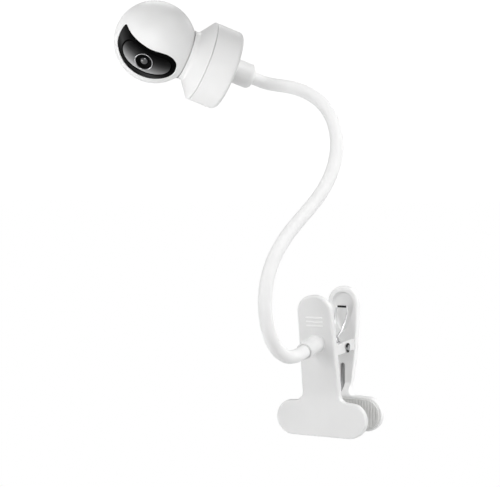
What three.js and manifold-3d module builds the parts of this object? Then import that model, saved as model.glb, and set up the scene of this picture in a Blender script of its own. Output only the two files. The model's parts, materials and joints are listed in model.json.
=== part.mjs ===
// Pan-and-tilt baby monitor camera on a bendable arm with a spring clamp.
// Millimetres, +Z up. The origin is the centre of the front clamping pad's face,
// +Y runs from that pad to the back pad, +X runs along the rail that is clamped.
import * as THREE from "three";
import { mergeVertices } from "three/addons/utils/BufferGeometryUtils.js";
import Module from "manifold-3d";

const wasm = await Module();
wasm.setup();

// ---------- driving dimensions ----------
const RAIL_GAP = 30; // pad face to pad face in the rest pose
const FOOT_HALF = 46; // half width of each clamping foot
const FOOT_R = 17; // foot half height and lobe radius
const PAD_T = 2.7; // rubber pad thickness
const GAP = 0.3; // clearance between neighbouring pieces
const FRONT_FACE_Y = -10.5; // outer face of the front foot
const FRONT_LEAN = 12; // lean of the front handle, degrees
const FRONT_TOP = 120; // top of the front handle
const FRONT_HALF = 17.2; // half width of the front handle
const BACK_FACE_Y = 44.5; // inner face of the back handle
const BACK_DEPTH = 9; // depth of the back handle
const BACK_TOP = 123.6; // top of the back handle
const WALL = 2.4; // moulded wall
const PIN = { y: 16, z: 66.5, r: 2.5 }; // hinge pin
const LUG_R = 4.7; // rounded end of the hinge lugs
const FERRULE = { y: -22.4, z: 73.2, down: 9, r: 8, len: 27 }; // socket of the arm on the clip
const SLEEVE_R = 6.25;
const SLEEVE_BORE = 4.4;
const CORE_R = 4;
const ARM_GAP = 2.8; // free length at each bend point
const SEGMENTS = 6;
const BALL_R = 39; // outer radius of the camera ball
const BALL_WALL = 2.4;
const BALL_C = [-145.81, -70.83, 359.13];
const AXIS_P = [-0.70227, -0.62234, 0.3457]; // base to head, the pan axis
const AXIS_L = [0.14022, -0.8009, -0.58214]; // viewing direction of the lens
const AXIS_H = [0.63348, 0.52438, -0.56903]; // long axis of the visor
const SEAM_NECK = 31.5; // distances behind the ball centre along the pan axis
const SEAM_BASE = 48.5;
const BASE_REAR = 76.5;
const BASE_R = 39;
const ARM_END = 101.5; // end of the camera ferrule
const FERRULE_OFFSET = 3.4; // the camera ferrule sits a little off the base's centre
const MODULE = 0.8; // gear module
const ARM_PATH = [
  [0, -49.1, 69], [-0.2, -68.6, 66.8], [-1, -87.7, 69.1], [-2.6, -104.7, 78.4],
  [-4.5, -115.6, 94.1], [-6, -119.4, 113.2], [-6.5, -116.8, 132.5], [-5.6, -109.1, 150.2],
  [-3, -97.9, 166.1], [1.2, -84.9, 180.1], [6.5, -71.3, 192.8], [12.5, -57.8, 205.5],
  [17.9, -45.4, 219.4], [21.6, -34.7, 235.4], [22.3, -26, 252.6], [19, -18.6, 270.4],
  [11.3, -12.1, 286.9], [-1.1, -6.3, 300.7], [-17.1, -1.2, 310.7], [-35.2, 2.1, 317.1],
];
// outline of the visor across the ball, along its long axis and across it
const VISOR = [
  [-33, 9], [-32.6, 0], [-29.5, -8.2], [-24, -13], [-16.5, -16.6], [-8.2, -18.3], [1.5, -18.1],
  [11.1, -15.8], [19.6, -11.9], [25.8, -7.2], [29.4, -0.8], [28.6, 6.5], [26, 12], [21.3, 15.8],
  [15.2, 17.8], [8.5, 17.4], [-1.5, 15], [-11, 13.6], [-20, 12.2], [-28, 11.2], [-31.6, 10.8],
];

// ---------- helpers ----------
const rad = THREE.MathUtils.degToRad;
const vec = (a) => new THREE.Vector3(...a);
function solid(geo) {
  const g = geo.index ? geo.toNonIndexed() : geo.clone();
  const bare = new THREE.BufferGeometry().setAttribute("position", g.getAttribute("position"));
  const m = mergeVertices(bare, 1e-4);
  const pos = m.attributes.position.array;
  const tri = [];
  const idx = m.index.array;
  let vol = 0;
  for (let i = 0; i < idx.length; i += 3) {
    const [a, b, c] = [idx[i], idx[i + 1], idx[i + 2]];
    if (a === b || b === c || a === c) continue;
    tri.push(a, b, c);
    const A = vec(pos.slice(3 * a, 3 * a + 3)), B = vec(pos.slice(3 * b, 3 * b + 3)), C = vec(pos.slice(3 * c, 3 * c + 3));
    vol += A.dot(B.cross(C));
  }
  if (vol < 0) for (let i = 0; i < tri.length; i += 3) [tri[i + 1], tri[i + 2]] = [tri[i + 2], tri[i + 1]];
  return new wasm.Manifold(new wasm.Mesh({ numProp: 3, vertProperties: new Float32Array(pos), triVerts: new Uint32Array(tri) }));
}
const cut = (a, ...bs) => bs.reduce((x, b) => x.subtract(b), a);
const join = (a, ...bs) => bs.reduce((x, b) => x.add(b), a);
function geometryOf(man) {
  const m = man.getMesh();
  const n = m.numProp;
  const v = new Float32Array(m.numVert * 3);
  for (let i = 0; i < m.numVert; i++) v.set(m.vertProperties.subarray(i * n, i * n + 3), 3 * i);
  const g = new THREE.BufferGeometry();
  g.setAttribute("position", new THREE.BufferAttribute(v, 3));
  g.setIndex(new THREE.BufferAttribute(new Uint32Array(m.triVerts), 1));
  g.computeVertexNormals();
  return g;
}
const shapeOf = (pts) => new THREE.Shape(pts.map((p) => new THREE.Vector2(p[0], p[1])));
const basis = (x, y, z, o = new THREE.Vector3()) => new THREE.Matrix4().makeBasis(x, y, z).setPosition(o);
const X = vec([1, 0, 0]), Y = vec([0, 1, 0]), Z = vec([0, 0, 1]);
// outline in Y and Z, run along X from x0 to x1
const alongX = (pts, x0, x1) => solid(new THREE.ExtrudeGeometry(shapeOf(pts), { depth: x1 - x0, bevelEnabled: false, steps: 1 })
  .applyMatrix4(basis(Y, Z, X, vec([x0, 0, 0]))));
// outline in X and Z, run along Y from y0 to y1
const alongY = (pts, y0, y1) => solid(new THREE.ExtrudeGeometry(shapeOf(pts), { depth: y1 - y0, bevelEnabled: false, steps: 1 })
  .applyMatrix4(basis(X, Z, Y.clone().negate(), vec([0, y1, 0]))));
// outline in X and Y, run along Z from z0 to z1
const alongZ = (pts, z0, z1) => solid(new THREE.ExtrudeGeometry(shapeOf(pts), { depth: z1 - z0, bevelEnabled: false, steps: 1 })
  .translate(0, 0, z0));
const box = (x0, x1, y0, y1, z0, z1) => solid(new THREE.BoxGeometry(x1 - x0, y1 - y0, z1 - z0)
  .translate((x0 + x1) / 2, (y0 + y1) / 2, (z0 + z1) / 2));
// a round about Z: profile points are radius and height
const turned = (pts, seg = 28) => solid(new THREE.LatheGeometry(pts.map((p) => new THREE.Vector2(p[0], p[1])), seg).rotateX(Math.PI / 2));
const rod = (r, z0, z1, seg = 20) => turned([[0, z0], [r, z0], [r, z1], [0, z1]], seg);
const ring = (r0, r1, z0, z1, seg = 28) => turned([[r0, z0], [r1, z0], [r1, z1], [r0, z1], [r0, z0]], seg);
const sphere = (r, w = 36, h = 22) => solid(new THREE.SphereGeometry(r, w, h));
const placed = (man, m) => solid(geometryOf(man).applyMatrix4(m));
const moved = (man, x, y, z) => placed(man, new THREE.Matrix4().makeTranslation(x, y, z));
// a round along X instead of Z
const toX = basis(Y, Z, X);
const lying = (man, x, y, z) => moved(placed(man, toX), x, y, z);

const WHITE = { color: 0xf1f1f0, roughness: 0.42, metalness: 0 };
const BLACK = { color: 0x0a0a0b, roughness: 0.12, metalness: 0 };
const STEEL = { color: 0x8c8f93, roughness: 0.35, metalness: 1 };
const DARK_STEEL = { color: 0x2b2c2e, roughness: 0.4, metalness: 1 };
const RUBBER = { color: 0xd9d9d6, roughness: 0.85, metalness: 0 };
const GREY = { color: 0xa2a3a5, roughness: 0.55, metalness: 0 };
const BOARD = { color: 0x1d5a36, roughness: 0.55, metalness: 0 };
const GEAR = { color: 0xe6e2d4, roughness: 0.5, metalness: 0 };
function add(group, name, man, mat) {
  const mesh = new THREE.Mesh(geometryOf(man), new THREE.MeshStandardMaterial(mat));
  mesh.name = name;
  group.add(mesh);
  return mesh;
}
const arc = (cx, cy, r, a0, a1, n) => Array.from({ length: n + 1 }, (_, i) => {
  const a = rad(a0 + ((a1 - a0) * i) / n);
  return [cx + r * Math.cos(a), cy + r * Math.sin(a)];
});
const mirrored = (half) => [...half, ...half.slice().reverse().map(([x, y]) => [-x, y]).filter(([x]) => Math.abs(x) > 1e-6)];

const root = new THREE.Group();
const clipFront = new THREE.Group();
const clipBack = new THREE.Group();
root.add(clipFront, clipBack);

// ---------- front jaw: handle, T-shaped foot, tray-like back ----------
const tanLean = Math.tan(rad(FRONT_LEAN));
const faceY = (z) => (z < 24 ? FRONT_FACE_Y : FRONT_FACE_Y - (z - 24) * tanLean);
function frontOutline(inset) {
  const w = FRONT_HALF - inset, r = FOOT_R - inset, f = 8 + inset;
  const topC = FRONT_TOP - FRONT_HALF;
  return mirrored([
    [0, -r],
    ...arc(FOOT_HALF - FOOT_R, 0, r, -90, 68, 12),
    ...arc(w + f + 1.5, FOOT_R + f - inset - 0.6, f, 252, 180, 4),
    ...arc(0, topC, w, 0, 90, 8),
  ]);
}
const frontSide = (shift, zLow) => [
  [FRONT_FACE_Y + shift, zLow], [FRONT_FACE_Y + shift, 18], [faceY(26) + shift, 27], [faceY(125) + shift, 125],
];
const frontOuter = alongY(frontOutline(0), -40, 0).intersect(
  alongX([...frontSide(0, -20), [faceY(125) + 9, 125], [faceY(30) + 9, 30], [FRONT_FACE_Y + 7.5, 20], [FRONT_FACE_Y + 7.5, -20]], -60, 60));
const frontHollow = alongY(frontOutline(WALL), -45, 12).intersect(
  alongX([[faceY(25) + WALL, 25], [faceY(128) + WALL, 128], [12, 128], [12, 25]], -60, 60));
const lug = (baseY, z0, z1, nose, n = 8) => {
  const dir = Math.sign(PIN.y - baseY);
  const a = dir > 0 ? [-75, 75] : [255, 105];
  return [[baseY, z0], ...arc(PIN.y, PIN.z, nose, a[0], a[1], n), [baseY, z1]];
};
const frontLug = (x0, x1) => alongX(lug(-15.5, 61.2, 71.8, LUG_R), x0, x1);
const pinBore = (r) => lying(rod(r, -30, 30, 24), 0, PIN.y, PIN.z);
// ferrule frame: local +Z points out of the jaw, away from the rail and a little down
const fDown = rad(FERRULE.down);
const fAxis = vec([0, -Math.cos(fDown), -Math.sin(fDown)]);
const fMat = basis(X, fAxis.clone().cross(X), fAxis, vec([0, FERRULE.y, FERRULE.z]));
const grips = [98.5, 94.6, 90.7].map((z) => alongX(
  [[faceY(z) - 0.7, z - 0.75], [faceY(z) + 1.5, z - 0.75], [faceY(z) + 1.5, z + 0.75], [faceY(z) - 0.7, z + 0.75]], -8.4, 8.4));
let frontJaw = join(cut(frontOuter, frontHollow), frontLug(12.9, 16.1), frontLug(-16.1, -12.9), ...grips);
frontJaw = cut(frontJaw, pinBore(PIN.r + GAP), placed(rod(FERRULE.r + GAP, -2.3, 9, 24), fMat), placed(rod(2.3, -12, 3, 16), fMat));
add(clipFront, "front_jaw", frontJaw, WHITE);

const padOutline = (inset) => mirrored([[0, -(FOOT_R - inset)], ...arc(FOOT_HALF - FOOT_R, 0, FOOT_R - inset, -90, 90, 12), [0, FOOT_R - inset]]);
add(clipFront, "front_pad", alongY(padOutline(2), -PAD_T, 0), RUBBER);

// socket that holds the arm, with a bore for the core and a screw from inside the jaw
const FL = FERRULE.len;
const clipFerrule = placed(cut(
  turned([[0, -2], [FERRULE.r, -2], [FERRULE.r, FL - 1.4], [FERRULE.r - 0.5, FL - 0.4], [FERRULE.r - 1.3, FL], [0, FL]], 24),
  rod(SLEEVE_R + GAP, FL - 3.2, FL + 2, 20), rod(2.2, -3, 9, 14)), fMat);
add(clipFront, "clip_ferrule", clipFerrule, WHITE);
add(clipFront, "ferrule_screw", placed(cut(
  turned([[0, -6.6], [3.3, -6.6], [3.6, -6.2], [3.6, -4.7], [1.9, -4.7], [1.9, 8], [0, 8.4]], 14),
  box(-2.2, 2.2, -0.4, 0.4, -8, -5.7), box(-0.4, 0.4, -2.2, 2.2, -8, -5.7)), fMat), STEEL);

// hinge pin with its head on the left and a retaining clip on the right
add(clipFront, "hinge_pin", lying(turned([[0, -18.4], [2.8, -18.2], [3.8, -17.5], [3.8, -16.4], [PIN.r, -16.4], [PIN.r, 16.9],
  [1.9, 16.9], [1.9, 18], [PIN.r, 18], [2.2, 18.7], [0, 18.7]], 24), 0, PIN.y, PIN.z), STEEL);
const clipShape = [...arc(0, 0, 4.6, -110, 170, 14), ...arc(0, 0, 2.2, 170, -110, 10)];
add(clipFront, "pin_retaining_clip", lying(alongZ(clipShape, 17.1, 17.8), 0, PIN.y, PIN.z), DARK_STEEL);

// double torsion spring: bridge in the back handle's pocket, two coils on the pin, two tails behind the front handle
class SpringPath extends THREE.Curve {
  constructor() {
    super();
    const R = 4.6, turns = 3, half = [];
    half.push([0, 43.2, 103.5], [4.6, 43.2, 103.5], [5.8, 42.6, 101]);
    half.push([4.6, 34, 84]);
    const a0 = 60, n = 12 * turns;
    for (let i = 0; i <= n; i++) {
      const a = rad(a0 - (360 * turns * i) / n);
      half.push([2.6 + (5.5 * i) / n, PIN.y + R * Math.cos(a), PIN.z + R * Math.sin(a)]);
    }
    half.push([8.2, 12, 76], [7.4, -14.5, 92], [7.4, -20, 95.5]);
    const left = half.slice(1).reverse().map(([x, y, z]) => [-x, y, z]);
    this.curve = new THREE.CatmullRomCurve3([...left, ...half].map(vec), false, "centripetal");
  }
  getPoint(t, target = new THREE.Vector3()) { return this.curve.getPointAt(t, target); }
}
const wire = shapeOf(arc(0, 0, 0.85, 0, 288, 4));
add(clipFront, "jaw_spring", solid(new THREE.ExtrudeGeometry(wire, { extrudePath: new SpringPath(), steps: 104, bevelEnabled: false })), DARK_STEEL);

// ---------- back jaw ----------
const backOutline = (inset) => {
  const r = FOOT_R - inset, f = 7 + inset;
  return mirrored([
    [0, -r],
    ...arc(FOOT_HALF - FOOT_R, 0, r, -90, 72, 12),
    ...arc(7.7 - inset + f + 1.4, FOOT_R + f - inset - 0.2, f, 256, 176, 4),
    [14 - inset, 64],
    ...arc(0, BACK_TOP - 15.8, 15.8 - inset, 0, 90, 8),
  ]);
};
const F0 = RAIL_GAP + PAD_T + GAP; // inner face of the back foot
const backSide = [
  [F0, -20], [F0 + 7.5, -20], [F0 + 7.5, 14], [BACK_FACE_Y + BACK_DEPTH, 30], [BACK_FACE_Y + BACK_DEPTH, 125],
  [BACK_FACE_Y, 125], [BACK_FACE_Y, 27], [F0, 17.5],
];
const pocket = alongY([[0, 77.5], [3.6, 82], [9.6, 98], ...arc(0, 106.2, 11.8, -12, 192, 12), [-9.6, 98], [-3.6, 82]], BACK_FACE_Y - 2, BACK_FACE_Y + 3.6);
const slotOutline = (inset) => [...arc(0, 45, 2.5 - inset, 0, 180, 6), ...arc(0, 21, 2.5 - inset, 180, 360, 6)];
const slot = alongY(slotOutline(0), 20, 70);
const backLug = (x0, x1) => alongX(lug(46, 61.2, 71.8, LUG_R), x0, x1);
let backJaw = alongY(backOutline(0), 20, 70).intersect(alongX(backSide, -60, 60));
backJaw = cut(join(backJaw, backLug(9.3, 12.5), backLug(-12.5, -9.3)), pocket, slot, pinBore(PIN.r + GAP));
add(clipBack, "back_jaw", backJaw, WHITE);
// strip that fills the slot, sunk below its face, and follows the bend of the plate
const stripSide = (y) => [[BACK_FACE_Y + y, 60], [BACK_FACE_Y + y, 27], [F0 + y, 17.5]];
add(clipBack, "slot_strip", alongY(slotOutline(GAP), 20, 70).intersect(alongX([...stripSide(3.2), ...stripSide(6).reverse()], -10, 10)), GREY);
add(clipBack, "back_pad", alongY(padOutline(2), RAIL_GAP, RAIL_GAP + PAD_T), RUBBER);

// ---------- camera frame: local Z is the pan axis, local X is the tilt axis ----------
const P = vec(AXIS_P).normalize();
const L = vec(AXIS_L).normalize();
const T = P.clone().cross(L).normalize();
const PT = P.clone().cross(T);
const camera = new THREE.Group();
camera.position.fromArray(BALL_C);
camera.quaternion.setFromRotationMatrix(basis(T, PT, P));
root.add(camera);
const cameraInverse = basis(T, PT, P, vec(BALL_C)).invert();
const Wup = vec([0.36914, 0.09689, 0.92431]);
const wLocal = Wup.clone().transformDirection(cameraInverse).setZ(0).normalize().multiplyScalar(FERRULE_OFFSET);
const armEnd = vec(BALL_C).addScaledVector(P, -ARM_END).addScaledVector(Wup, FERRULE_OFFSET);

// ---------- arm: a bendable steel core in a soft sleeve, divided at its bend points ----------
const path = new THREE.CatmullRomCurve3(
  [...ARM_PATH.map(vec), armEnd.clone().addScaledVector(P, -13), armEnd], false, "centripetal");
path.arcLengthDivisions = 600;
const armLength = path.getLength();
class Stretch extends THREE.Curve {
  constructor(u0, u1) { super(); this.u0 = u0; this.u1 = u1; }
  getPoint(t, target = new THREE.Vector3()) { return path.getPointAt(this.u0 + (this.u1 - this.u0) * t, target); }
}
const armGroup = new THREE.Group();
root.add(armGroup);
const tubeShape = (r, bore, n) => {
  const s = shapeOf(arc(0, 0, r, 0, 360 - 360 / n, n - 1));
  if (bore) s.holes.push(new THREE.Path(arc(0, 0, bore, 0, 360 - 360 / n, n - 1).map((p) => new THREE.Vector2(...p))));
  return s;
};
export const bends = [];
const first = ARM_GAP / 2 - 0.4;
for (let i = 0; i <= SEGMENTS; i++) {
  const s = first + ((armLength - 2 * first) * i) / SEGMENTS;
  bends.push({ s, at: path.getPointAt(s / armLength).toArray(), along: path.getTangentAt(s / armLength).toArray() });
}
for (let i = 0; i < SEGMENTS; i++) {
  const a = (bends[i].s + ARM_GAP / 2) / armLength, b = (bends[i + 1].s - ARM_GAP / 2) / armLength;
  const tube = solid(new THREE.ExtrudeGeometry(tubeShape(SLEEVE_R, SLEEVE_BORE, 12), { extrudePath: new Stretch(a, b), steps: 7, bevelEnabled: false }));
  add(armGroup, "arm_sleeve_" + (i + 1), tube, WHITE);
  add(armGroup, "arm_core_" + (i + 1), solid(new THREE.ExtrudeGeometry(tubeShape(CORE_R, 0, 8), { extrudePath: new Stretch(a, b), steps: 7, bevelEnabled: false })), STEEL);
}

// ---------- camera base: cup, closing plate, ferrule, electronics and pan drive ----------
const base = new THREE.Group();
camera.add(base);
const s0 = -SEAM_BASE - 0.4, s1 = -BASE_REAR;
let cup = cut(
  turned([[0, s1], [BASE_R - 3.5, s1], [BASE_R - 1.4, s1 + 0.7], [BASE_R - 0.3, s1 + 2.2], [BASE_R, s1 + 4], [BASE_R, s0], [BASE_R - 2.6, s0],
    [BASE_R - 2.6, s0 - 2.8], [BASE_R - WALL - 1.4, s0 - 2.8], [BASE_R - WALL - 1.4, s1 + 2.6], [0, s1 + 2.6]], 40));
const SIDE = { a: 205 }; // the connector side of the cup, degrees about the pan axis
const sideDir = new THREE.Vector3(Math.cos(rad(SIDE.a)), Math.sin(rad(SIDE.a)), 0);
const sideMat = basis(new THREE.Vector3(0, 0, 1).cross(sideDir), new THREE.Vector3(0, 0, 1), sideDir, vec([0, 0, -66]));
const usbShape = [...arc(3, 0, 1.7, -90, 90, 6), ...arc(-3, 0, 1.7, 90, 270, 6)];
const usbOut = alongZ(usbShape.map(([x, y]) => [x * 1.08, y * 1.18]), 30, 45);
const buttonAt = [12.5, 0];
cup = cut(cup, placed(usbOut, sideMat), placed(moved(rod(2.4, 30, 45, 20), ...buttonAt, 0), sideMat),
  moved(rod(3.3, s1 - 2, s1 + 6, 20), wLocal.x, wLocal.y, 0));
add(base, "base_housing", cup, WHITE);
add(base, "base_top_plate", ring(19, BASE_R - 2.6 - GAP, s0 - 2.5, s0 - 0.9, 40), WHITE);
const usb = cut(alongZ(usbShape, 27, 36.3), alongZ(usbShape.map(([x, y]) => [x * 0.84, y * 0.74]), 30.5, 40));
add(base, "usb_socket", placed(join(usb, alongZ([[-2.4, -0.35], [2.4, -0.35], [2.4, 0.35], [-2.4, 0.35]], 29, 35)), sideMat), STEEL);
const boardCut = moved(rod(9.2, -80, -50, 20), 21.3, 0, 0);
add(base, "base_board", cut(rod(31, -72.6, -71, 32), moved(rod(6, -80, -60, 16), wLocal.x, wLocal.y, 0), boardCut), BOARD);
add(base, "speaker", moved(cut(turned([[0, -70.6], [9, -70.6], [9, -67], [10, -66], [10, -64.6], [0, -64.6]], 24), rod(6.5, -66.2, -60, 20)), -12, 16, 0), BLACK);
const stud = turned([[0, s1 + 6.2], [4.4, s1 + 6.2], [4.4, s1 + 2.9], [2.9, s1 + 2.9], [2.9, s1 - 10], [2.4, s1 - 11], [0, s1 - 11]], 18);
add(base, "mount_stud", moved(cut(stud, box(-3, 3, -0.6, 0.6, s1 + 4.6, s1 + 8)), wLocal.x, wLocal.y, 0), STEEL);
const fe = -ARM_END, fb = s1 - GAP;
const camFerrule = cut(
  turned([[0, fb], [12, fb], [12, fe + 5.5], [11.4, fe + 3], [10, fe + 1.2], [8.4, fe], [0, fe]], 28),
  rod(3.2, fb - 12, fb + 1, 18), rod(SLEEVE_R + GAP, fe - 1, fe + 3.2, 24));
add(base, "arm_end_ferrule", moved(camFerrule, wLocal.x, wLocal.y, 0), WHITE);

function gear(z, bore, z0, z1, phase) {
  const rp = (MODULE * z) / 2, ro = rp + MODULE * 0.9, ri = rp - MODULE * 1.15, pts = [];
  for (let i = 0; i < z; i++) {
    const c = phase + (360 * i) / z, w = 360 / z;
    for (const [r, d] of [[ri, -0.27], [ro, -0.1], [ro, 0.1], [ri, 0.27]]) {
      const a = rad(c + d * w);
      pts.push([r * Math.cos(a), r * Math.sin(a)]);
    }
  }
  return cut(alongZ(pts, z0, z1), rod(bore, z0 - 1, z1 + 1, 16));
}
// pan drive: the motor stands in the base and its pinion turns the gear under the collar
const PAN_GEAR = 36, PAN_PINION = 12;
export const panCentre = (MODULE * (PAN_GEAR + PAN_PINION)) / 2 + 0.15;
const panMotor = join(rod(8.6, -69, -59.4, 28), rod(0.95, -59.6, -52.9, 12));
add(base, "pan_motor", moved(panMotor, panCentre, 0, 0), STEEL);
const panPinion = new THREE.Group();
camera.add(panPinion);
add(panPinion, "pan_pinion", moved(gear(PAN_PINION, 1.25, -57.6, -53.4, 180 + 180 / PAN_PINION), panCentre, 0, 0), GEAR);

const button = new THREE.Group();
camera.add(button);
add(button, "reset_button", placed(moved(turned([[0, 28.4], [3.3, 28.4], [3.3, 29.6], [2.05, 29.6], [2.05, 37.2], [1.6, 37.6], [0, 37.6]], 16), ...buttonAt, 0), sideMat), WHITE);

// ---------- turret: collar that cradles the ball, its post and gears ----------
const turret = new THREE.Group();
camera.add(turret);
const cup0 = BALL_R + 0.7;
const onCup = (r) => [r, -Math.sqrt(cup0 * cup0 - r * r)];
let collar = turned([
  [12, -53], [17.6, -53], [17.6, -48.6], [33.5, -48.6], [BASE_R, -SEAM_BASE], [BASE_R, -47.9], [24.9, -37], [24.3, -35.4], [24.3, -32.2], [23.9, onCup(23.6)[1]],
  onCup(21), onCup(16.5), onCup(12), [12, -53],
], 40);
add(turret, "collar", collar, WHITE);
const post = join(
  turned([[0, -52.4], [11.6, -52.4], [11.6, -42], [7.5, -40.6], [0, -40.6]], 28),
  box(-5, 5, -2, 2, -42, -2), lying(rod(5.2, -5, 5, 24), 0, 0, 0));
add(turret, "yoke_post", cut(post, lying(rod(2.3, -8, 8, 18), 0, 0, 0)), GEAR);
const dome = cut(sphere(35.1, 28, 16), sphere(34, 24, 14)).intersect(box(-9, 9, -24, 24, -60, -20));
add(turret, "dust_dome", cut(dome, box(-5.3, 5.3, -2.3, 2.3, -60, 0)), GEAR);
add(turret, "pan_gear", gear(PAN_GEAR, 6, -57.4, -53.3, 0), GEAR);
const lensAngle = Math.atan2(L.dot(P), L.dot(PT)); // angle of the lens in the local Y-Z plane
// tilt motor: its ring is fixed to the post, and the tilt shaft runs through it
add(turret, "tilt_motor", lying(ring(2.35, 7.3, 5.3, 12.1, 32), 0, 0, 0), STEEL);

// ---------- head: ball, visor, lens, boards, tilt motor ----------
const head = new THREE.Group();
camera.add(head);
const lensLocal = L.clone().transformDirection(cameraInverse);
const hLocal = vec(AXIS_H).transformDirection(cameraInverse);
hLocal.addScaledVector(lensLocal, -hLocal.dot(lensLocal)).normalize();
const uLocal = lensLocal.clone().cross(hLocal);
const look = new THREE.Group(); // local Z along the lens, local X along the visor
look.quaternion.setFromRotationMatrix(basis(hLocal, uLocal, lensLocal));
head.add(look);
const lookMat = basis(hLocal, uLocal, lensLocal);
const lookInverse = lookMat.clone().invert();
// slot for the post, in the camera frame: an arc band about the tilt axis
const slotBand = (half, reachFront, reachBack) => {
  const pts = [[0, 0]];
  const aPost = -Math.PI / 2; // the post points to local -Z
  const toLens = Math.sign(Math.sin(lensAngle - aPost)) || 1;
  for (let i = 0; i <= 8; i++) {
    const a = aPost + toLens * rad(-reachBack + ((reachFront + reachBack) * i) / 8);
    pts.push([60 * Math.cos(a), 60 * Math.sin(a)]);
  }
  return alongX(pts, -half, half);
};
const postSlot = placed(slotBand(5.8, 29, 49), lookInverse);
const ball = cut(sphere(BALL_R, 36, 20), sphere(BALL_R - BALL_WALL, 20, 14));
const capCone = (half, far) => turned([[0, 0], [far * Math.tan(rad(half)), -far], [0, -far]], 40);
const visorPath = new THREE.CatmullRomCurve3(VISOR.map(([x, y]) => new THREE.Vector3(x, y, 0)), true, "centripetal");
const visorOutline = (grow) => {
  const n = 30, pts = [];
  for (let i = 0; i < n; i++) {
    const p = visorPath.getPointAt(i / n), t = visorPath.getTangentAt(i / n);
    pts.push([p.x + t.y * grow, p.y - t.x * grow]);
  }
  return pts;
};
const rearGap = 54.6;
let frontShell = cut(ball, capCone(rearGap + 0.8, 60), postSlot, alongZ(visorOutline(GAP), 4, 60));
add(look, "head_front_shell", frontShell, WHITE);
add(look, "head_rear_cover", cut(ball.intersect(capCone(rearGap, 60)), postSlot), WHITE);
const visorShell = cut(sphere(BALL_R - 0.2, 36, 20), sphere(BALL_R - 3.2, 20, 14));
add(look, "visor", cut(visorShell.intersect(alongZ(visorOutline(0), 6, 60)), rod(9.1, 20, 60, 32)), BLACK);
add(look, "lens_bezel", turned([[7.3, 32.6], [8.8, 32.6], [8.8, 37.3], [8.4, 37.7], [7.9, 37.7], [7.3, 36.9], [7.3, 32.6]], 32), STEEL);
add(look, "lens_glass", turned([[0, 34], [6.9, 34], [6.9, 35], [5, 35.7], [2.6, 36.1], [0, 36.2]], 28), { color: 0x101418, roughness: 0.03, metalness: 0 });
add(look, "lens_barrel", turned([[0, 20.6], [6.6, 20.6], [6.6, 33.7], [3.4, 33.7], [2.8, 32.4], [0, 32.4]], 24), BLACK);
add(look, "sensor_board", box(-11, 11, -10, 10, 18.6, 20.2), BOARD);
add(look, "ir_led_left", moved(turned([[0, 23.5], [2.5, 23.5], [2.5, 26.8], [1.8, 28.2], [0, 28.8]], 14), -17, -3, 0), { color: 0x3a2326, roughness: 0.1, metalness: 0 });
add(look, "ir_led_right", moved(turned([[0, 23.5], [2.5, 23.5], [2.5, 26.8], [1.8, 28.2], [0, 28.8]], 14), 17, -3, 0), { color: 0x3a2326, roughness: 0.1, metalness: 0 });
add(look, "light_sensor", box(11, 14, 6, 9, 26, 29.6), BOARD);
add(look, "led_board", cut(box(-21, 21, -9.5, 11, 21.6, 23.1), rod(7.6, 10, 40, 24)), BOARD);
// chassis: a plate across the ball behind the sensor, with two cheeks that carry the tilt shaft
const cheek = (x0, x1) => placed(box(x0, x1, -7, 7, -6.5, 13.2), basis(X, X.clone().cross(lensLocal).negate(), lensLocal));
const cameraBox = (man) => placed(man, lookInverse);
let chassis = join(rod(29, 13, 15.2, 28), cameraBox(cheek(12.4, 15)), cameraBox(cheek(-15, -12.4)));
chassis = cut(chassis, cameraBox(lying(rod(2.3, -20, 20, 18), 0, 0, 0)));
add(look, "head_chassis", chassis, GEAR);
add(head, "tilt_shaft", lying(turned([[0, -17], [2, -17], [2, 17], [0, 17]], 18), 0, 0, 0), STEEL);
add(look, "main_board", box(-20, 20, -16, 16, 16.2, 17.6), BOARD);
add(look, "microphone", moved(rod(2.4, 18.2, 21, 14), 16, -12, 0), STEEL);
add(look, "wifi_antenna", box(-18, -4, 11.5, 15, 18.2, 18.9), STEEL);

// ---------- joint frames, in the part's own frame ----------
const toWorld = (v) => v.clone().applyMatrix4(basis(T, PT, P, vec(BALL_C)));
export const frames = {
  P: P.toArray(), T: T.toArray(), L: L.toArray(), ball: BALL_C,
  panPinion: toWorld(vec([panCentre, 0, -55.5])).toArray(),
  button: sideDir.clone().transformDirection(basis(T, PT, P)).toArray(),
  side: sideDir.clone().transformDirection(basis(T, PT, P)).toArray(),
  pin: [0, PIN.y, PIN.z], armLength,
};
export default root;
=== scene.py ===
import json
import math
import bmesh
import bpy
import numpy as np
from mathutils import Matrix, Vector, noise

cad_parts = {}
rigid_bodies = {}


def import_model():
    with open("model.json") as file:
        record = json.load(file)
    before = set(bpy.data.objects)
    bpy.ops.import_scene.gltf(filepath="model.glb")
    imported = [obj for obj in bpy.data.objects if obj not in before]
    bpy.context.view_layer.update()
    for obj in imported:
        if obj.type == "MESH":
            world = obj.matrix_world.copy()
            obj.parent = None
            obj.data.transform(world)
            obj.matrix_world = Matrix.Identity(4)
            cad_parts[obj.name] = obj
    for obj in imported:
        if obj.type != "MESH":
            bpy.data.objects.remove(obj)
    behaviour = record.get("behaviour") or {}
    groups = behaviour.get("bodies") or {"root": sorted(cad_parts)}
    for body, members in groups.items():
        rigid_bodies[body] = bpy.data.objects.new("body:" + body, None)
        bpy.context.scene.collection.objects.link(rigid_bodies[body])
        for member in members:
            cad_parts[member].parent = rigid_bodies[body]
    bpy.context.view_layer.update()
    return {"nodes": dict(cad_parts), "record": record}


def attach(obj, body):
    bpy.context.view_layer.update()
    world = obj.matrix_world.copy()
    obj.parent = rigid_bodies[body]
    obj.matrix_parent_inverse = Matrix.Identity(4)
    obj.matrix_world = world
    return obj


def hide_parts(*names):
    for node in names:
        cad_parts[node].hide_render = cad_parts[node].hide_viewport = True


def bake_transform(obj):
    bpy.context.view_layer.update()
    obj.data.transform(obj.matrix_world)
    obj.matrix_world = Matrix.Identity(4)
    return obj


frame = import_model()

MM = 0.001
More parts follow.
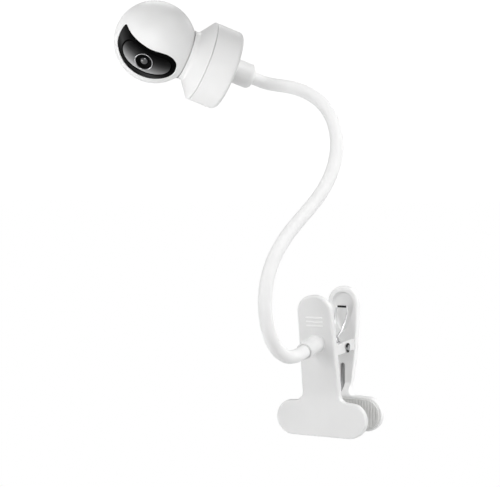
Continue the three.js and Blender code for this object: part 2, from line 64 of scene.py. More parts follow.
scene = bpy.context.scene

# ------------------------------------------------------------------ camera
F_PX = 1300.0
AZ, DOWN = math.radians(26.4), math.radians(2.36)
RIGHT = Vector((math.cos(AZ), math.sin(AZ), 0))
AHEAD = Vector((-math.sin(AZ), math.cos(AZ), 0))
FWD = AHEAD * math.cos(DOWN) - Vector((0, 0, 1)) * math.sin(DOWN)
UP = AHEAD * math.sin(DOWN) + Vector((0, 0, 1)) * math.cos(DOWN)
CAM = Vector((488.01, -1144.42, 218.54)) * MM
cam_data = bpy.data.cameras.new("view_camera")
cam_data.sensor_width = 36.0
cam_data.lens = F_PX / 500.0 * 36.0
cam_data.clip_end = 120
cam = bpy.data.objects.new("view_camera", cam_data)
scene.collection.objects.link(cam)
cam.matrix_world = Matrix.Translation(CAM) @ Matrix(((RIGHT.x, UP.x, -FWD.x), (RIGHT.y, UP.y, -FWD.y), (RIGHT.z, UP.z, -FWD.z))).to_4x4()
scene.camera = cam
scene.view_settings.view_transform = "Standard"

# ------------------------------------------------------------------ dimensions shared with the frame, in mm
FOOT_HALF, FOOT_R, PAD_T, RAIL_GAP = 46.0, 17.0, 2.7, 30.0
FRONT_FACE_Y, LEAN, FRONT_TOP, FRONT_HALF = -10.5, math.radians(12), 120.0, 17.2
BACK_FACE_Y, BACK_DEPTH, BACK_TOP = 44.5, 9.0, 123.6
PIN = (16.0, 66.5, 2.5)
WALL = 2.4
SLEEVE_R = 6.25
BALL_R, BALL_WALL = 39.0, 2.4
BALL_C = np.array([-145.81, -70.83, 359.13])
unit = lambda v: np.array(v, float) / np.linalg.norm(v)
P = unit([-0.70227, -0.62234, 0.3457])
L = unit([0.14022, -0.8009, -0.58214])
T = unit(np.cross(P, L))
PT = np.cross(P, T)
H = np.array([0.63348, 0.52438, -0.56903]); H = unit(H - H.dot(L) * L)
U = np.cross(L, H)
WUP = np.array([0.36914, 0.09689, 0.92431])
wl = np.array([WUP.dot(T), WUP.dot(PT)]); wl = wl / np.linalg.norm(wl) * 3.4
ARM_END = 101.5
CAMFRAME = (np.stack([T, PT, P], 1), BALL_C)       # local x, y, z -> world
LOOK = (np.stack([H, U, L], 1), BALL_C)
VISOR = [
    (-33, 9), (-32.6, 0), (-29.5, -8.2), (-24, -13), (-16.5, -16.6), (-8.2, -18.3), (1.5, -18.1),
    (11.1, -15.8), (19.6, -11.9), (25.8, -7.2), (29.4, -0.8), (28.6, 6.5), (26, 12), (21.3, 15.8),
    (15.2, 17.8), (8.5, 17.4), (-1.5, 15), (-11, 13.6), (-20, 12.2), (-28, 11.2), (-31.6, 10.8)]
ARM_PATH = [
    (0, -49.1, 69), (-0.2, -68.6, 66.8), (-1, -87.7, 69.1), (-2.6, -104.7, 78.4),
    (-4.5, -115.6, 94.1), (-6, -119.4, 113.2), (-6.5, -116.8, 132.5), (-5.6, -109.1, 150.2),
    (-3, -97.9, 166.1), (1.2, -84.9, 180.1), (6.5, -71.3, 192.8), (12.5, -57.8, 205.5),
    (17.9, -45.4, 219.4), (21.6, -34.7, 235.4), (22.3, -26, 252.6), (19, -18.6, 270.4),
    (11.3, -12.1, 286.9), (-1.1, -6.3, 300.7), (-17.1, -1.2, 310.7), (-35.2, 2.1, 317.1)]

# ------------------------------------------------------------------ materials
def material(name, color, rough=0.45, metal=0.0, spec=0.5, coat=0.0, coat_rough=0.1, sss=0.0, bump=0.0, bump_scale=900.0,
             detail=3.0, vary=0.02, vary_scale=60.0, rough_vary=0.05, alpha=1.0, transmission=0.0, ior=1.46, stretch=None, hook=None):
    m = bpy.data.materials.new(name)
    m.use_nodes = True
    nt = m.node_tree
    b = nt.nodes["Principled BSDF"]
    b.inputs["Metallic"].default_value = metal
    b.inputs["IOR"].default_value = ior
    b.inputs["Specular IOR Level"].default_value = spec
    b.inputs["Coat Weight"].default_value = coat
    b.inputs["Coat Roughness"].default_value = coat_rough
    b.inputs["Subsurface Weight"].default_value = sss
    if sss:
        b.inputs["Subsurface Radius"].default_value = (1.0, 0.95, 0.9)
        b.inputs["Subsurface Scale"].default_value = 0.0015
    b.inputs["Transmission Weight"].default_value = transmission
    b.inputs["Alpha"].default_value = alpha
    tc = nt.nodes.new("ShaderNodeTexCoord")
    src = tc.outputs["Object"]
    if stretch:
        mp = nt.nodes.new("ShaderNodeMapping")
        mp.inputs["Scale"].default_value = stretch
        nt.links.new(src, mp.inputs["Vector"])
        src = mp.outputs["Vector"]
    n1 = nt.nodes.new("ShaderNodeTexNoise")
    n1.inputs["Scale"].default_value = vary_scale
    n1.inputs["Detail"].default_value = detail
    nt.links.new(src, n1.inputs["Vector"])
    ramp = nt.nodes.new("ShaderNodeValToRGB")
    lo = [max(0.0, c * (1 - vary)) for c in color]
    hi = [min(1.0, c * (1 + vary)) for c in color]
    ramp.color_ramp.elements[0].position, ramp.color_ramp.elements[1].position = 0.35, 0.65
    ramp.color_ramp.elements[0].color = (*lo, 1)
    ramp.color_ramp.elements[1].color = (*hi, 1)
    nt.links.new(n1.outputs["Fac"], ramp.inputs["Fac"])
    color_out = ramp.outputs["Color"]
    if hook:
        color_out = hook(nt, tc, color_out)
    nt.links.new(color_out, b.inputs["Base Color"])
    n2 = nt.nodes.new("ShaderNodeTexNoise")
    n2.inputs["Scale"].default_value = bump_scale
    n2.inputs["Detail"].default_value = 2.0
    nt.links.new(src, n2.inputs["Vector"])
    mr = nt.nodes.new("ShaderNodeMapRange")
    mr.inputs["To Min"].default_value = max(0.0, rough - rough_vary)
    mr.inputs["To Max"].default_value = min(1.0, rough + rough_vary)
    nt.links.new(n2.outputs["Fac"], mr.inputs["Value"])
    nt.links.new(mr.outputs["Result"], b.inputs["Roughness"])
    if bump:
        bp = nt.nodes.new("ShaderNodeBump")
        bp.inputs["Strength"].default_value = bump
        bp.inputs["Distance"].default_value = 0.0001
        nt.links.new(n2.outputs["Fac"], bp.inputs["Height"])
        nt.links.new(bp.outputs["Normal"], b.inputs["Normal"])
    return m

M_WHITE = material("white_abs", (0.80, 0.80, 0.797), 0.40, spec=0.45, bump=0.25, bump_scale=2600, vary=0.008, vary_scale=40, sss=0.06)
M_CLIP = material("white_abs_clip", (0.80, 0.80, 0.798), 0.46, spec=0.42, bump=0.35, bump_scale=2100, vary=0.01, vary_scale=35, sss=0.05)
M_SLEEVE = material("white_silicone", (0.86, 0.86, 0.858), 0.50, spec=0.40, bump=0.08, bump_scale=1200, vary=0.01, vary_scale=50, sss=0.0)
# Painted highlight: the ribs are the same white plastic as the jaws, made lighter to stand in for light falling on
# their tops.
M_RIBS_PAINTED_HIGHLIGHT = material("white_abs_ribs_painted_highlight", (0.93, 0.93, 0.928), 0.36, spec=0.5, vary=0.01, vary_scale=35)
M_PAD = material("pad_rubber", (0.66, 0.66, 0.65), 0.82, spec=0.3, bump=0.8, bump_scale=1500, vary=0.05, vary_scale=120)
def painted_reflection_gradient(stops, tilt):
    """Painted reflection: brightness added to the colour along the visor's short side, a little tilted, in place of the
    room reflected in the glossy black; stops are (mm above the lens axis, brightness).
    """
    def hook(nt, tc, colour):
        sub = nt.nodes.new("ShaderNodeVectorMath"); sub.operation = "SUBTRACT"
        nt.links.new(tc.outputs["Object"], sub.inputs[0]); sub.inputs[1].default_value = tuple(float(c) * MM for c in BALL_C)
        dot = nt.nodes.new("ShaderNodeVectorMath"); dot.operation = "DOT_PRODUCT"
        nt.links.new(sub.outputs["Vector"], dot.inputs[0]); dot.inputs[1].default_value = tuple(float(c) / MM for c in (U - tilt * H))
        mr = nt.nodes.new("ShaderNodeMapRange")
        mr.inputs["From Min"].default_value, mr.inputs["From Max"].default_value = -20.0, 20.0
        nt.links.new(dot.outputs["Value"], mr.inputs["Value"])
        rp = nt.nodes.new("ShaderNodeValToRGB")
        el = rp.color_ramp.elements
        while len(el) > 1: el.remove(el[-1])
        for i, (w_, v_) in enumerate(sorted(stops)):
            e_ = el[0] if i == 0 else el.new((w_ + 20) / 40)
            e_.position = (w_ + 20) / 40
            e_.color = (v_, v_, v_ * 1.01, 1)
        nt.links.new(mr.outputs["Result"], rp.inputs["Fac"])
        mx = nt.nodes.new("ShaderNodeMix"); mx.data_type = "RGBA"; mx.blend_type = "ADD"
        mx.inputs["Factor"].default_value = 1.0
        nt.links.new(rp.outputs["Color"], mx.inputs["A"]); nt.links.new(colour, mx.inputs["B"])
        return mx.outputs["Result"]
    return hook
# The visor and its sunken window get a painted reflection: grey added to their black colour, lightest below the lens
# axis, in place of the room reflected in the gloss.
M_VISOR = material("visor_gloss_painted_reflection", (0.0006, 0.0006, 0.0006), 0.20, spec=0.012, vary=0.1, rough_vary=0.02,
                   hook=painted_reflection_gradient([(-17, 0.006), (-13.5, 0.014), (-9.5, 0.030), (-7, 0.036), (-4, 0.022), (0, 0.009), (3, 0.004), (8, 0.0015)], -0.25))
M_STEP = material("visor_step_black", (0.0006, 0.0006, 0.0006), 0.5, spec=0.01, vary=0.1)
M_BAFFLE = material("lens_baffle_black", (0.002, 0.002, 0.002), 0.5, spec=0.05, bump=0.3, bump_scale=3000, vary=0.1)
M_WINDOW = material("visor_window_painted_reflection", (0.0008, 0.0008, 0.0008), 0.16, spec=0.03, vary=0.1, rough_vary=0.02,
                    hook=painted_reflection_gradient([(-12, 0.45), (-9.5, 0.41), (-6, 0.24), (-3, 0.15), (0, 0.075), (3, 0.030), (6, 0.011), (10, 0.002)], 0.1))
M_BLACK = material("black_matte", (0.012, 0.012, 0.013), 0.55, spec=0.3, bump=0.4, bump_scale=3000, vary=0.1)
M_STEEL = material("plated_steel", (0.56, 0.57, 0.58), 0.28, metal=1.0, bump=0.15, bump_scale=1800, vary=0.06, vary_scale=300, stretch=(1, 1, 12))
M_DARK = material("black_oxide_steel", (0.008, 0.008, 0.009), 0.40, metal=0.25, spec=0.25, bump=0.25, bump_scale=2500, vary=0.2, vary_scale=400)
M_SPRING = material("spring_steel", (0.72, 0.72, 0.73), 0.30, metal=1.0, bump=0.1, bump_scale=2500, vary=0.1, vary_scale=400)
M_RING = material("lens_ring_metal", (0.50, 0.50, 0.51), 0.22, metal=1.0, bump=0.05, vary=0.05, vary_scale=500)
M_GLASS = material("lens_glass_coated", (0.004, 0.0045, 0.006), 0.02, spec=1.0, coat=1.0, coat_rough=0.02, vary=0.1, rough_vary=0.01)
M_BOARD = material("solder_mask", (0.012, 0.10, 0.045), 0.42, spec=0.5, bump=0.3, bump_scale=900, vary=0.3, vary_scale=250)
M_LED = material("dark_epoxy", (0.03, 0.010, 0.012), 0.08, spec=0.6, vary=0.15)
M_GEAR = material("natural_acetal", (0.74, 0.72, 0.66), 0.42, spec=0.4, bump=0.2, bump_scale=1800, vary=0.03, sss=0.1)
# Painted shade: mid-grey for the strip inside the back jaw's slot, standing in for the shade in the slot.
M_SLOT_PAINTED_SHADE = material("slot_painted_shade_grey", (0.36, 0.36, 0.365), 0.5, spec=0.4, bump=0.3, bump_scale=1800, vary=0.03)
M_CORE = material("wound_core", (0.48, 0.48, 0.49), 0.35, metal=1.0, bump=0.5, bump_scale=700, vary=0.1)
SLOT_MAT = {"white_shell": M_WHITE, "arm_sleeve": M_SLEEVE, "clamp_pad": M_PAD, "steel": M_STEEL, "arm_core": M_CORE, "dark_steel": M_DARK,
            "visor_black": M_VISOR, "lens_ring": M_RING, "lens_glass": M_GLASS, "black_plastic": M_BLACK, "circuit_board": M_BOARD,
            "infrared_led": M_LED, "gear_plastic": M_GEAR, "grey_strip": M_SLOT_PAINTED_SHADE}
slot_of = {s["node"]: s["material_slot"] for s in frame["record"]["subparts"]}
for n, o in frame["nodes"].items():
    o.data.materials.clear()
    o.data.materials.append(SLOT_MAT[slot_of[n]])

# ------------------------------------------------------------------ mesh helpers (all in mm until the mesh is made)
def shade(me, angle=35.0):
    """Smooth shading, with a hard line only where two faces meet at more than angle."""
    bm = bmesh.new(); bm.from_mesh(me)
    lim = math.radians(angle)
    for f in bm.faces:
        f.smooth = True
    for e in bm.edges:
        e.smooth = not (len(e.link_faces) == 2 and e.calc_face_angle(0.0) > lim)
    bm.to_mesh(me); bm.free()

def make(name, verts, faces, mat, frame_=None, angle=35.0, merge=1e-4):
    v = np.array(verts, float)
    if frame_ is not None:
        v = v @ frame_[0].T + frame_[1]
    me = bpy.data.meshes.new(name)
    me.from_pydata((v * MM).tolist(), [], [list(f) for f in faces])
    bm = bmesh.new(); bm.from_mesh(me)
    bmesh.ops.remove_doubles(bm, verts=bm.verts, dist=merge * MM)
    bmesh.ops.recalc_face_normals(bm, faces=bm.faces)
    bm.to_mesh(me); bm.free()
    me.materials.append(mat)
    shade(me, angle)
    ob = bpy.data.objects.new(name, me)
    scene.collection.objects.link(ob)
    return ob

def loft(rings, closed=True, cap0=False, capN=False):
    """Quads between rings of equal length. rings: list of (n, 3)."""
    n = len(rings[0]); v = []; f = []
    for r in rings:
        v.extend(list(map(tuple, r)))
    m = n if closed else n - 1
    for k in range(len(rings) - 1):
        a, b = k * n, (k + 1) * n
        for i in range(m):
            j = (i + 1) % n
            f.append((a + i, a + j, b + j, b + i))
    if cap0: f.append(tuple(range(n))[::-1])
    if capN: f.append(tuple((len(rings) - 1) * n + i for i in range(n)))
    return v, f

def turned(profile, seg=128, frame_=None, offset=(0, 0)):
    """Closed body of revolution about local Z from (radius, height) points, on the axis at both ends or closed on itself."""
    v = []; f = []
    idx = []
    on_axis = [abs(r) < 1e-6 for r, z in profile]
    for (r, z), ax in zip(profile, on_axis):
        if ax:
            idx.append([len(v)] * seg); v.append((offset[0], offset[1], z))
        else:
            base = len(v)
            for i in range(seg):
                a = 2 * math.pi * i / seg
                v.append((offset[0] + r * math.cos(a), offset[1] + r * math.sin(a), z))
            idx.append([base + i for i in range(seg)])
    for k in range(len(profile) - 1):
        A, B = idx[k], idx[k + 1]
        for i in range(seg):
            j = (i + 1) % seg
            q = [A[i], A[j], B[j], B[i]]
            q2 = []
            for x in q:
                if x not in q2: q2.append(x)
            if len(q2) >= 3: f.append(tuple(q2))
    return v, f

def rounded(profile, r=0.6, n=4):
    """Rounds the inner corners of an open profile with fillets of radius r (a number, or one per point)."""
    out = [profile[0]]
    for k in range(1, len(profile) - 1):
        p, q, s = (np.array(profile[i], float) for i in (k - 1, k, k + 1))
        rr = r[k] if isinstance(r, (list, tuple)) else r
        a, b = p - q, s - q
        la, lb = np.linalg.norm(a), np.linalg.norm(b)
        if rr <= 0 or la < 1e-6 or lb < 1e-6:
            out.append(tuple(q)); continue
        a, b = a / la, b / lb
        half = math.acos(max(-1, min(1, a.dot(b)))) / 2
        if half > math.radians(87):
            out.append(tuple(q)); continue
        t = min(rr / math.tan(half), 0.45 * la, 0.45 * lb)
        rr = t * math.tan(half)
        c = q + unit(a + b) * rr / math.sin(half)
        p0, p1 = q + a * t, q + b * t
        v0, v1 = p0 - c, p1 - c
        ang = math.acos(max(-1, min(1, v0.dot(v1) / (rr * rr))))
        for i in range(n + 1):
            w = i / n
            if ang < 1e-4:
                out.append(tuple(p0 + (p1 - p0) * w)); continue
            out.append(tuple(c + (v0 * math.sin((1 - w) * ang) + v1 * math.sin(w * ang)) / math.sin(ang)))
    out.append(profile[-1])
    return out

def arc(cx, cy, r, a0, a1, n):
    return [(cx + r * math.cos(math.radians(a0 + (a1 - a0) * i / n)), cy + r * math.sin(math.radians(a0 + (a1 - a0) * i / n))) for i in range(n + 1)]

def mirror(half):
    return half + [(-x, y) for x, y in reversed(half) if abs(x) > 1e-6]

def resample(pts, step, smooth=0.0):
    """Closed outline at an even step; smooth is a Gaussian along the outline, in mm."""
    p = np.array(pts, float)
    d = np.linalg.norm(np.roll(p, -1, 0) - p, axis=1)
    s = np.r_[0, np.cumsum(d)]
    fine = int(s[-1] / 0.1)
    q = np.r_[p, p[:1]]
    u = np.linspace(0, s[-1], fine, endpoint=False)
    f = np.stack([np.interp(u, s, q[:, k]) for k in (0, 1)], 1)
    if smooth:
        sg = smooth / (s[-1] / fine)
        w = int(4 * sg) + 1
        ker = np.exp(-0.5 * (np.arange(-w, w + 1) / sg) ** 2); ker /= ker.sum()
        g = np.zeros_like(f)
        for k, c in zip(range(-w, w + 1), ker):
            g += c * np.roll(f, k, 0)
        f = g
    n = int(round(s[-1] / step / 4)) * 4
    idx = (np.arange(n) * fine / n).astype(int)
    out = f[idx]
    area = 0.5 * np.sum(out[:, 0] * np.roll(out[:, 1], -1) - np.roll(out[:, 0], -1) * out[:, 1])
    return out if area > 0 else out[::-1]

def offset(ring, d):
    """Moves a counter-clockwise outline inwards by d."""
    t = np.roll(ring, -1, 0) - np.roll(ring, 1, 0)
    t /= np.linalg.norm(t, axis=1)[:, None]
    nrm = np.stack([-t[:, 1], t[:, 0]], 1)
    return ring + nrm * d

def smoothstep(a, b, x):
    t = np.clip((np.asarray(x, float) - a) / (b - a), 0, 1)
    return t * t * (3 - 2 * t)

def slab(name, chains, caps, face, mat, cuts, angle=35.0):
    """A moulded plate that follows y = face(z). chains: lists of (outline (n, 2) in x and z, depth per point);
    caps: lists of (chain, ring, depth as a function of z) loops that bound one flat cap; cuts: heights where the caps are divided."""
    bm = bmesh.new()
    rows, y_of = [], {}
    for chain in chains:
        cr = []
        for outline, depth in chain:
            vs = [bm.verts.new((x, 0.0, z)) for x, z in outline]
            for v, d in zip(vs, depth): y_of[v] = float(d)
            cr.append(vs)
        rows.append(cr)
        for a, b in zip(cr[:-1], cr[1:]):
            for i in range(len(a)):
                j = (i + 1) % len(a)
                bm.faces.new((a[i], a[j], b[j], b[i]))
    for cap in caps:
        loops = [rows[c][r] for c, r, _ in cap]
        d = cap[0][2]
        if len(loops) == 1:
            fs = [bm.faces.new(loops[0])]
        else:
            es = [bm.edges.get((lp[i], lp[(i + 1) % len(lp)])) for lp in loops for i in range(len(lp))]
            got = bmesh.ops.triangle_fill(bm, use_beauty=True, use_dissolve=False, edges=es, normal=(0, 1, 0))
            fs = [g for g in got["geom"] if isinstance(g, bmesh.types.BMFace)]
        before = set(bm.verts)
        for z in cuts:
            geom = set(fs)
            for f in fs:
                geom.update(f.edges); geom.update(f.verts)
            r = bmesh.ops.bisect_plane(bm, geom=list(geom), plane_co=(0, 0, z), plane_no=(0, 0, 1), dist=1e-4)
            fs = list({g for g in r["geom"] if isinstance(g, bmesh.types.BMFace)})
        for v in set(bm.verts) - before:
            y_of[v] = d(v.co.z)
    for v, y in y_of.items():
        if v.is_valid: v.co.y = float(face(v.co.z)) + y
    bmesh.ops.remove_doubles(bm, verts=bm.verts, dist=1e-4)
    bmesh.ops.recalc_face_normals(bm, faces=bm.faces)
    bmesh.ops.scale(bm, vec=(MM, MM, MM), verts=bm.verts)
    me = bpy.data.meshes.new(name)
    bm.to_mesh(me); bm.free()
    me.materials.append(mat)
    shade(me, angle)
    ob = bpy.data.objects.new(name, me)
    scene.collection.objects.link(ob)
    return ob

BODY_OF = {}
CAMERA_BODIES = {"head", "turret", "camera_base", "pan_pinion", "reset_button"}
def finish_piece(ob, body, nodes=()):
    BODY_OF[ob.name] = body
    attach(ob, body)
    if nodes:
        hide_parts(*nodes)
    return ob

# ------------------------------------------------------------------ front jaw
def weighted(ob):
    """Normals that follow the large faces, so that flat faces stay flat up to their rounded edges."""
    m = ob.modifiers.new("w", "WEIGHTED_NORMAL")
    m.keep_sharp = True
    m.weight = 100
    dg = bpy.context.evaluated_depsgraph_get()
    me = bpy.data.meshes.new_from_object(ob.evaluated_get(dg), preserve_all_data_layers=True, depsgraph=dg)
    ob.modifiers.clear()
    ob.data = me
    return ob

def boolean(ob, cutters, op="DIFFERENCE", angle=35.0):
    for c in cutters:
        m = ob.modifiers.new("b", "BOOLEAN")
        m.object = c; m.operation = op; m.solver = "EXACT"
        dg = bpy.context.evaluated_depsgraph_get()
        me = bpy.data.meshes.new_from_object(ob.evaluated_get(dg), depsgraph=dg)
        ob.modifiers.clear()
        ob.data = me
    for c in cutters:
        bpy.data.objects.remove(c)
    shade(ob.data, angle)
    return ob

def joined(name, obs):
    """One object out of several closed bodies."""
    bm = bmesh.new(); mats = []
    for o in obs:
        start = len(bm.faces)
        bm.from_mesh(o.data)
        mt = o.data.materials[0]
        if mt not in mats: mats.append(mt)
        bm.faces.ensure_lookup_table()
        for f in bm.faces[start:]: f.material_index = mats.index(mt)
    me = bpy.data.meshes.new(name); bm.to_mesh(me); bm.free()
    for mt in mats: me.materials.append(mt)
    for o in obs: bpy.data.objects.remove(o)
    ob = bpy.data.objects.new(name, me); scene.collection.objects.link(ob)
    return ob

def edge_rings(outline, r, depth, sign, n=6):
    """From inset r at depth to inset 0 at depth + sign * r; r is a number per outline point."""
    out = []
    for i in range(n + 1):
        a = math.pi / 2 * i / n
        out.append((offset(outline, (r * (1 - math.sin(a)))[:, None]), depth + sign * r * (1 - math.cos(a))))
    return out

def smax(x, k):
    """Smooth max(x, 0)."""
    return k * np.logaddexp(0, np.asarray(x, float) / k)

def front_face(z):
    return FRONT_FACE_Y - math.tan(LEAN) * smax(np.asarray(z, float) - 24, 2.5)
def front_rim(z):
    return 7.5 + 1.5 * smoothstep(19, 31, z)
def front_floor(z):
    return 6.2 - 3.8 * smoothstep(20, 27, z)
def front_half():
    w, r, f = FRONT_HALF, FOOT_R, 8.0
    return mirror([(0, -r)] + arc(FOOT_HALF - r, 0, r, -90, 68, 40) + arc(w + f + 1.5, r + f - 0.6, f, 252, 180, 16)
                  + arc(0, FRONT_TOP - w, w, 0, 90, 30))

def rings_to(chain_spec, zf):
    return [(o, (np.full(len(o), float(d)) if np.isscalar(d) else np.asarray(d, float))) for o, d in chain_spec]

o = resample(front_half(), 1.1, 1.4)
zr = o[:, 1]
r_edge = 1.5 + 1.1 * smoothstep(30, 100, zr)
D, Fl = front_rim(zr), front_floor(zr)
q = np.minimum(1.2, (D - 0.6 - Fl) * 0.8)
chain = edge_rings(o, r_edge, np.zeros(len(o)), 1)
chain += [(o, D - 0.7), (offset(o, 0.2), D - 0.2), (offset(o, 0.7), D), (offset(o, WALL - 0.6), D), (offset(o, WALL - 0.15), D - 0.15),
          (offset(o, WALL), D - 0.6), (offset(o, WALL), Fl + q), (offset(o, (WALL + 0.3 * q)[:, None]), Fl + 0.3 * q), (offset(o, (WALL + q)[:, None]), Fl)]
front = slab("front_jaw_shell", [chain], [[(0, 0, lambda z: 0.0)], [(0, len(chain) - 1, lambda z: float(front_floor(z)))]],
             front_face, M_CLIP, list(np.arange(-14, 119, 3.0)) + list(np.arange(18.6, 32, 1.0)))
weighted(front)
finish_piece(front, "clip_front", ["front_jaw"])

def plate_yz(name, pts, x0, x1, mat, r=0.5):
    """A plate with outline (y, z), rounded corners and softened edges, between x0 and x1."""
    pl = resample(pts, 0.7, 0.5)
    spec = [(r, 0.0), (r * 0.29, r * 0.29 * 0.3), (0.0, r), (0.0, (x1 - x0) - r), (r * 0.29, (x1 - x0) - r * 0.09), (r, x1 - x0)]
    rings = []
    for ins, dx in spec:
        oo = offset(pl, ins)
        rings.append([(x0 + dx, y, z) for y, z in oo])
    v, f = loft(rings, cap0=True, capN=True)
    return make(name, v, f, mat)

def lug_pts(base, dirn, nose=4.7):
    a = (-75, 75) if dirn > 0 else (255, 105)
    return [base[0]] + arc(PIN[0], PIN[1], nose, a[0], a[1], 24) + [base[1]]

def rib(name, face, z, half, mat, out=0.75, w=0.8, sgn=-1):
    """A raised rib with rounded ends on a jaw's face."""
    ol = resample([(half - w, -w)] + arc(half - w, 0, w, -90, 90, 10) + arc(-half + w, 0, w, 90, 270, 10), 0.35, 0.15)
    rings = []
    for ins, d in ((0.0, -1.0), (0.0, 0.25 * out), (0.12 * w, 0.62 * out), (0.34 * w, 0.9 * out), (0.62 * w, out)):
        oo = offset(ol, ins)
        rings.append([(x, float(face(z + zz)) + sgn * d, z + zz) for x, zz in oo])
    v, f = loft(rings, cap0=True, capN=True)
    return make(name, v, f, mat)

parts = [plate_yz("l1", lug_pts([(-16.2, 61.2), (-18.6, 71.8)], 1), x, x + 3.2, M_CLIP) for x in (12.9, -16.1)]
lugs = joined("front_jaw_lugs", parts)
finish_piece(lugs, "clip_front")
ribs = joined("front_jaw_grips", [rib("r", front_face, z, 8.6, M_RIBS_PAINTED_HIGHLIGHT) for z in (98.5, 94.6, 90.7)])
finish_piece(ribs, "clip_front")

# ------------------------------------------------------------------ pads
def pad_half(inset):
    r = FOOT_R - inset
    return mirror([(0, -r)] + arc(FOOT_HALF - FOOT_R, 0, r, -90, 90, 30) + [(0, r)])

def pad(name, y_face, sgn, body, node, back):
    """Rubber pad whose face carries fine upright ribs; sgn is the way the face looks along y."""
    ol = resample(pad_half(2.0), 0.8, 0.3)
    rings = []
    for ins, d in ((1.6, back), (0.8, back), (0.8, 2.7), (0.0, 2.6), (0.0, 0.9), (0.12, 0.55), (0.4, 0.3)):
        rings.append([(x, y_face - sgn * d, z) for x, z in offset(ol, ins)])
    v, f = loft(rings, cap0=True)
    n = len(ol)
    bm = bmesh.new()
    vs = [bm.verts.new(p) for p in v]
    for g in f: bm.faces.new([vs[i] for i in g])
    top = vs[-n:]
    cap = [bm.faces.new(top)]
    for x in np.arange(-43.5, 43.6, 0.75):
        geom = set(cap)
        for g in cap: geom.update(g.edges); geom.update(g.verts)
        r = bmesh.ops.bisect_plane(bm, geom=list(geom), plane_co=(x, 0, 0), plane_no=(1, 0, 0), dist=1e-5)
        cap = list({g for g in r["geom"] if isinstance(g, bmesh.types.BMFace)})
    for z in list(np.arange(-14, 15, 1.0)):
        geom = set(cap)
        for g in cap: geom.update(g.edges); geom.update(g.verts)
        r = bmesh.ops.bisect_plane(bm, geom=list(geom), plane_co=(0, 0, z), plane_no=(0, 0, 1), dist=1e-5)
        cap = list({g for g in r["geom"] if isinstance(g, bmesh.types.BMFace)})
    rim = set(top)
    inner = {q_ for g in cap for q_ in g.verts} - rim
    half, rr = FOOT_HALF - FOOT_R, FOOT_R - 2.4
    for q_ in inner:
        x, z = q_.co.x, q_.co.z
        dx = max(0.0, abs(x) - half)
        edge = rr - math.hypot(dx, z)
        s = float(smoothstep(0.4, 1.8, edge))
        k = int(round((x + 43.5) / 0.75)) % 4
        q_.co.y += sgn * s * (0.3 if k in (1, 2) else -0.25)
    bmesh.ops.remove_doubles(bm, verts=bm.verts, dist=1e-4)
    bmesh.ops.recalc_face_normals(bm, faces=bm.faces)
    bmesh.ops.scale(bm, vec=(MM, MM, MM), verts=bm.verts)
    me = bpy.data.meshes.new(name); bm.to_mesh(me); bm.free()
    me.materials.append(M_PAD); shade(me, 40)
    ob = bpy.data.objects.new(name, me); scene.collection.objects.link(ob)
    return finish_piece(ob, body, [node])

pad("front_pad_ribbed", 0.0, 1, "clip_front", "front_pad", 4.1)
pad("back_pad_ribbed", RAIL_GAP, -1, "clip_back", "back_pad", 2.9)

# ------------------------------------------------------------------ back jaw
F0 = RAIL_GAP + PAD_T + 0.3
def back_half():
    r, f = FOOT_R, 7.0
    return mirror([(0, -r)] + arc(FOOT_HALF - FOOT_R, 0, r, -90, 72, 40) + arc(7.7 + f + 1.4, FOOT_R + f - 0.2, f, 256, 176, 16)
                  + [(14, 64)] + arc(0, BACK_TOP - 15.8, 15.8, 0, 90, 30))
def back_in(z):
    z = np.asarray(z, float)
    return F0 + (BACK_FACE_Y - F0) * smoothstep(15.5, 29, z)
def back_out(z):
    z = np.asarray(z, float)
    return F0 + 7.5 + (BACK_FACE_Y + BACK_DEPTH - F0 - 7.5) * smoothstep(10.5, 33, z)
bo = resample(back_half(), 1.1, 1.4)
bz = bo[:, 1]
th = back_out(bz) - back_in(bz)
rb = 1.3 + 0.9 * smoothstep(30, 100, bz)
chain_b = edge_rings(bo, rb, np.zeros(len(bo)), 1)
back_edge = [(a, th - b) for a, b in edge_rings(bo, rb * 0.8, np.zeros(len(bo)), 1)][::-1]
chain_b += [(bo, th * 0.5)] + back_edge
pocket = resample([(0, 77.5), (3.6, 82), (6.9, 89.5), (9.9, 98)] + arc(0, 106.2, 11.8, -12, 192, 40) + [(-9.9, 98), (-6.9, 89.5), (-3.6, 82)], 0.8, 0.9)
pc = np.array([0.0, 100.5])
chain_p = [(pc + (pocket - pc) * k, np.full(len(pocket), d)) for k, d in
           ((1.035, 0.0), (1.012, 0.09), (0.996, 0.35), (0.985, 0.8), (0.965, 1.8), (0.94, 2.6), (0.90, 3.2), (0.84, 3.52), (0.76, 3.6))]
sl = resample(arc(0, 45, 2.5, 0, 180, 16) + arc(0, 21, 2.5, 180, 360, 16), 0.7, 0.1)
sth = back_out(sl[:, 1]) - back_in(sl[:, 1])
chain_s = [(offset(sl, -0.5), np.zeros(len(sl))), (offset(sl, -0.14), np.full(len(sl), 0.14)), (sl, np.full(len(sl), 0.5)), (sl, sth * 0.5),
           (sl, sth - 0.5), (offset(sl, -0.14), sth - 0.14), (offset(sl, -0.5), sth)]
zero = lambda z: 0.0
thick = lambda z: float(back_out(z) - back_in(z))
back = slab("back_jaw_shell", [chain_b, chain_p, chain_s],
            [[(0, 0, zero), (1, 0, zero), (2, 0, zero)], [(0, len(chain_b) - 1, thick), (2, len(chain_s) - 1, thick)], [(1, len(chain_p) - 1, lambda z: 3.6)]],
            back_in, M_CLIP, list(np.arange(-14, 121, 3.0)) + list(np.arange(10.5, 34, 1.0)))
weighted(back)
finish_piece(back, "clip_back", ["back_jaw"])
parts = [plate_yz("l2", lug_pts([(46, 61.2), (46, 71.8)], -1), x, x + 3.2, M_CLIP) for x in (9.3, -12.5)]
finish_piece(joined("back_jaw_lugs", parts), "clip_back")
